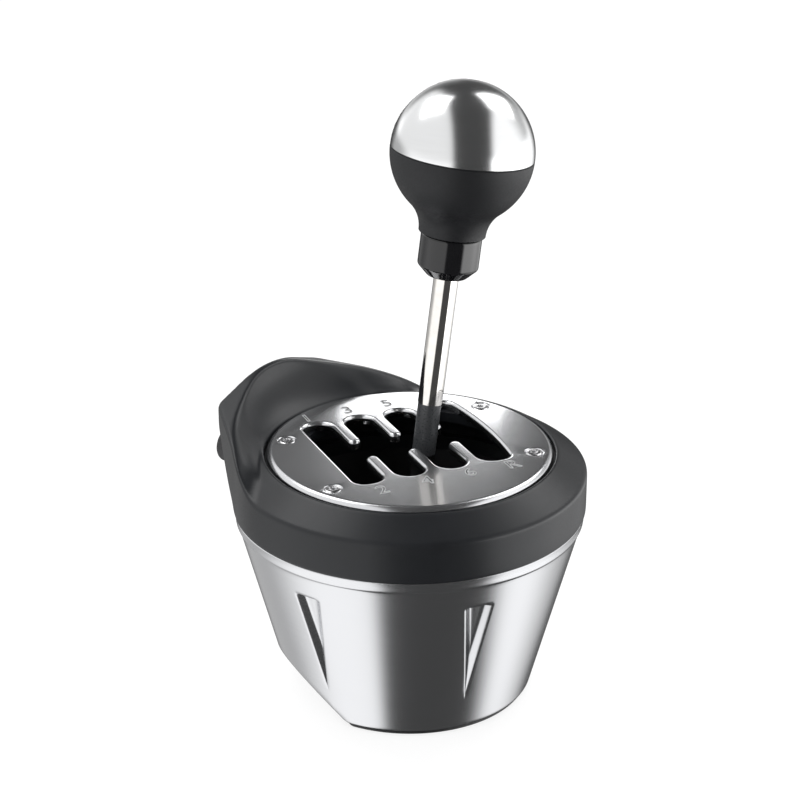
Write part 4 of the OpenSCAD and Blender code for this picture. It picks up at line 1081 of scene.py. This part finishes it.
CAMERA_POS = Vector((-0.31009, -0.70592, 0.44632))
CAMERA_LOOK = Vector((0.36593, 0.84403, -0.39205))
CAMERA_LENS = 100.07
SENSOR_W = 36.0
cam_data = bpy.data.cameras.new("camera")
cam_data.lens = CAMERA_LENS
cam_data.sensor_width = SENSOR_W
cam = bpy.data.objects.new("camera", cam_data)
cam.location = CAMERA_POS
cam.rotation_euler = CAMERA_LOOK.to_track_quat("-Z", "Y").to_euler()
scene.collection.objects.link(cam)
scene.camera = cam
scene.view_settings.view_transform = "Standard"

CAMERA_TURN = math.atan2(-CAMERA_LOOK.y, -CAMERA_LOOK.x)
AIM = Vector((0, 0, 0.1))


def lit_place(azimuth, elevation, distance):
    """A place round the object: azimuth in degrees from the camera, positive to its right."""
    a, e = CAMERA_TURN + math.radians(azimuth), math.radians(elevation)
    return AIM + distance * Vector((math.cos(a) * math.cos(e), math.sin(a) * math.cos(e), math.sin(e)))


def soft_box(name, azimuth, elevation, distance, width, height, radiance, mirrored):
    """A soft lamp, with angles in degrees and lengths in metres, seen in reflections where mirrored."""
    data = bpy.data.lights.new(name, "AREA")
    data.shape = "RECTANGLE"
    data.size, data.size_y = width, height
    data.energy = radiance * math.pi * width * height
    lamp = bpy.data.objects.new(name, data)
    lamp.location = lit_place(azimuth, elevation, distance)
    lamp.rotation_euler = (AIM - lamp.location).to_track_quat("-Z", "Y").to_euler()
    lamp.visible_glossy = mirrored
    scene.collection.objects.link(lamp)


soft_box("light_left", -75, 30, 1.1, 0.7, 0.9, 1.2, False)
soft_box("light_back_left", -125, 58, 0.9, 0.45, 0.45, 3.0, True)
soft_box("light_back_right", 132, 46, 0.9, 0.4, 0.5, 3.0, True)
soft_box("light_right", 80, 25, 1.1, 0.5, 0.9, 0.9, False)


def light_path(mat_tree, names):
    """1 where any of the light path's flags is set."""
    path = mat_tree.nodes.new("ShaderNodeLightPath")
    total = path.outputs[names[0]]
    for name in names[1:]:
        join = mat_tree.nodes.new("ShaderNodeMath")
        join.operation = "MAXIMUM"
        mat_tree.links.new(total, join.inputs[0])
        mat_tree.links.new(path.outputs[name], join.inputs[1])
        total = join.outputs[0]
    return total


world = bpy.data.worlds.new("studio")
scene.world = world
world.use_nodes = True
tree = world.node_tree
tree.nodes.clear()
white = tree.nodes.new("ShaderNodeBackground")
white.inputs["Strength"].default_value = 1.0
white.inputs["Color"].default_value = (1, 1, 1, 1)
fill = tree.nodes.new("ShaderNodeBackground")
fill.inputs["Color"].default_value = (1, 1, 1, 1)
fill.inputs["Strength"].default_value = 1.0
mix = tree.nodes.new("ShaderNodeMixShader")
out = tree.nodes.new("ShaderNodeOutputWorld")
tree.links.new(light_path(tree, ("Is Camera Ray", "Is Glossy Ray", "Is Transmission Ray")), mix.inputs["Fac"])
tree.links.new(fill.outputs[0], mix.inputs[1])
tree.links.new(white.outputs[0], mix.inputs[2])
tree.links.new(mix.outputs[0], out.inputs["Surface"])


def stage_mesh(name, verts, faces, mat):
    mesh = bpy.data.meshes.new(name)
    mesh.from_pydata(verts, [], faces)
    mesh.materials.append(mat)
    obj = bpy.data.objects.new(name, mesh)
    scene.collection.objects.link(obj)
    return obj


FLOOR_COLOR = (0.9, 0.9, 0.9)
FLOOR_ROUGHNESS = 0.9
FLOOR_GLOW = 1.06
FLOOR_GLOW_SHARE = 0.75
FLOOR_HALF = 6.0
FLOOR_Z = -0.0002
floor_mat = material("floor", FLOOR_COLOR, 0.0, FLOOR_ROUGHNESS)
tree = floor_mat.node_tree
glow = tree.nodes.new("ShaderNodeEmission")
glow.inputs["Strength"].default_value = FLOOR_GLOW
mix = tree.nodes.new("ShaderNodeMixShader")
share = tree.nodes.new("ShaderNodeMath")
share.operation = "MULTIPLY"
share.inputs[1].default_value = FLOOR_GLOW_SHARE
tree.links.new(light_path(tree, ("Is Camera Ray", "Is Glossy Ray", "Is Transmission Ray")), share.inputs[0])
tree.links.new(share.outputs[0], mix.inputs["Fac"])
tree.links.new(tree.nodes["Principled BSDF"].outputs[0], mix.inputs[1])
tree.links.new(glow.outputs[0], mix.inputs[2])
tree.links.new(mix.outputs[0], tree.nodes["Material Output"].inputs["Surface"])
floor_corners = [(x * FLOOR_HALF, y * FLOOR_HALF, FLOOR_Z) for x, y in ((-1, -1), (1, -1), (1, 1), (-1, 1))]
floor = stage_mesh("floor", floor_corners, [(0, 1, 2, 3)], floor_mat)
floor.visible_glossy = False


# Studio panels, seen by reflections alone. In their own axes X points to the camera and Y to its right.

class Shade:
    """Builds an emission from the place on a panel, by small steps of arithmetic."""

    def __init__(self, name):
        self.mat = bpy.data.materials.new(name)
        self.mat.use_nodes = True
        self.tree = self.mat.node_tree
        self.tree.nodes.clear()
        self.place = self.tree.nodes.new("ShaderNodeTexCoord").outputs["Object"]

    def math(self, operation, a, b):
        node = self.tree.nodes.new("ShaderNodeMath")
        node.operation = operation
        for socket, value in zip(node.inputs, (a, b)):
            if isinstance(value, (int, float)):
                socket.default_value = value
            else:
                self.tree.links.new(value, socket)
        return node.outputs[0]

    def times(self, a, b):
        return self.math("MULTIPLY", a, b)

    def plus(self, a, b):
        return self.math("ADD", a, b)

    def rest(self, value):
        return self.math("SUBTRACT", 1.0, value)

    def direction(self):
        """X, Y and Z of the place's direction from the middle."""
        node = self.tree.nodes.new("ShaderNodeVectorMath")
        node.operation = "NORMALIZE"
        self.tree.links.new(self.place, node.inputs[0])
        split = self.tree.nodes.new("ShaderNodeSeparateXYZ")
        self.tree.links.new(node.outputs["Vector"], split.inputs[0])
        return split.outputs

    def step(self, value, low, high):
        """Goes smoothly from 0 at low to 1 at high."""
        node = self.tree.nodes.new("ShaderNodeMapRange")
        node.interpolation_type = "SMOOTHSTEP"
        if low > high:
            low, high = high, low
            node.inputs["To Min"].default_value = 1.0
            node.inputs["To Max"].default_value = 0.0
        node.inputs["From Min"].default_value = low
        node.inputs["From Max"].default_value = high
        self.tree.links.new(value, node.inputs["Value"])
        return node.outputs["Result"]

    def finish(self, strength):
        glow = self.tree.nodes.new("ShaderNodeEmission")
        self.tree.links.new(strength, glow.inputs["Strength"])
        out = self.tree.nodes.new("ShaderNodeOutputMaterial")
        self.tree.links.new(glow.outputs[0], out.inputs["Surface"])
        return self.mat


# Where the panels begin and end along the direction's axes, and how bright they are
ABOVE_Z = (0.0, 0.15)
SIDE_X = (-0.92, -0.72)
LEFT_Y = (-0.19, -0.33)
LEFT_X = (-0.5, 0.15)
LEFT_BASE, LEFT_GAIN, LEFT_HIGH = 0.5, 0.9, 1.1
RIGHT_Y = (0.50, 0.66)
RIGHT_X = (-0.7, -0.1)
RIGHT_BASE, RIGHT_GAIN, RIGHT_LEAN = 0.5, 0.95, 0.2
LOW_Z = (-0.45, -0.3)
LOW_GAIN = 1.8
BEHIND_X = (-0.5, -0.85)
BEHIND_Z = (0.62, 0.2)
BEHIND_Y = (-0.05, 0.07)
BEHIND_GLOW, BEHIND_CUT = 0.24, 0.8
SWEEP_X = (-0.55, -0.8)
SWEEP_Z = (0.3, 0.1)
SWEEP_GLOW = 0.6
STUDIO_DARK = 0.08


def studio_material():
    """A bright panel on the left, a brighter one on the right, dark between; a pale sweep behind."""
    shade = Shade("studio_panels")
    times, plus, rest, step = shade.times, shade.plus, shade.rest, shade.step
    x, y, z = shade.direction()
    above = step(z, *ABOVE_Z)
    sides = step(x, *SIDE_X)
    left_tone = plus(times(step(x, *LEFT_X), LEFT_GAIN), LEFT_BASE)
    left_tone = plus(times(left_tone, rest(above)), times(above, LEFT_HIGH))
    left = times(times(step(y, *LEFT_Y), left_tone), sides)
    right_tone = plus(times(step(x, *RIGHT_X), RIGHT_GAIN), RIGHT_BASE)
    low_band = times(step(z, *LOW_Z), rest(above))
    right_tone = times(right_tone, plus(times(low_band, LOW_GAIN), 1.0))
    lean = shade.math("SUBTRACT", y, times(x, RIGHT_LEAN))
    right = times(times(step(lean, *RIGHT_Y), right_tone), sides)
    behind = times(step(x, *BEHIND_X), step(z, *BEHIND_Z))
    behind = times(behind, times(above, BEHIND_GLOW))
    behind = times(behind, rest(times(step(y, *BEHIND_Y), BEHIND_CUT)))
    sweep = times(step(x, *SWEEP_X), step(z, *SWEEP_Z))
    sweep = times(sweep, times(above, SWEEP_GLOW))
    total = plus(plus(left, right), plus(behind, sweep))
    return shade.finish(plus(total, STUDIO_DARK))


def plain_glow(name, strength):
    mat = bpy.data.materials.new(name)
    mat.use_nodes = True
    tree = mat.node_tree
    tree.nodes.clear()
    glow = tree.nodes.new("ShaderNodeEmission")
    glow.inputs["Strength"].default_value = strength
    out = tree.nodes.new("ShaderNodeOutputMaterial")
    tree.links.new(glow.outputs[0], out.inputs["Surface"])
    return mat


STUDIO_R = 2.0
STUDIO_Z = 0.08
STUDIO_SIDES = 72
STUDIO_LEVELS = 36
POLE_GAP = 0.02
CARD_BACK = 0.26
CARD_CORNERS = ((-0.035, 0.12), (0.075, 0.12), (0.046, 0.205), (-0.035, 0.205))
CARD_GLOW = 3.2


def reflected_only(obj):
    obj.rotation_euler = (0, 0, CAMERA_TURN)
    obj.visible_camera = False
    obj.visible_diffuse = False
    obj.visible_shadow = False
    obj.visible_transmission = False


def make_studio():
    """A wide sphere round the object whose inside carries the panels."""
    n = STUDIO_SIDES
    verts = []
    for k in range(STUDIO_LEVELS + 1):
        e = math.pi * ((k + POLE_GAP) / (STUDIO_LEVELS + 2 * POLE_GAP) - 0.5)
        for i in range(n):
            a = 2 * math.pi * i / n
            verts.append((STUDIO_R * math.cos(e) * math.cos(a), STUDIO_R * math.cos(e) * math.sin(a),
                          STUDIO_R * math.sin(e)))
    faces = [(k * n + i, k * n + (i + 1) % n, (k + 1) * n + (i + 1) % n, (k + 1) * n + i)
             for k in range(STUDIO_LEVELS) for i in range(n)]
    for k in (0, STUDIO_LEVELS):
        faces.append(tuple(k * n + i for i in range(n)))
    studio = stage_mesh("studio_panels", verts, faces, studio_material())
    studio.location = (0, 0, STUDIO_Z)
    reflected_only(studio)


def make_card():
    """A small white card close behind the object, for the bright patch on the gate plate."""
    verts = [(-CARD_BACK, y, z) for y, z in CARD_CORNERS]
    reflected_only(stage_mesh("studio_card", verts, [(0, 1, 2, 3)], plain_glow("studio_card", CARD_GLOW)))


make_studio()
make_card()
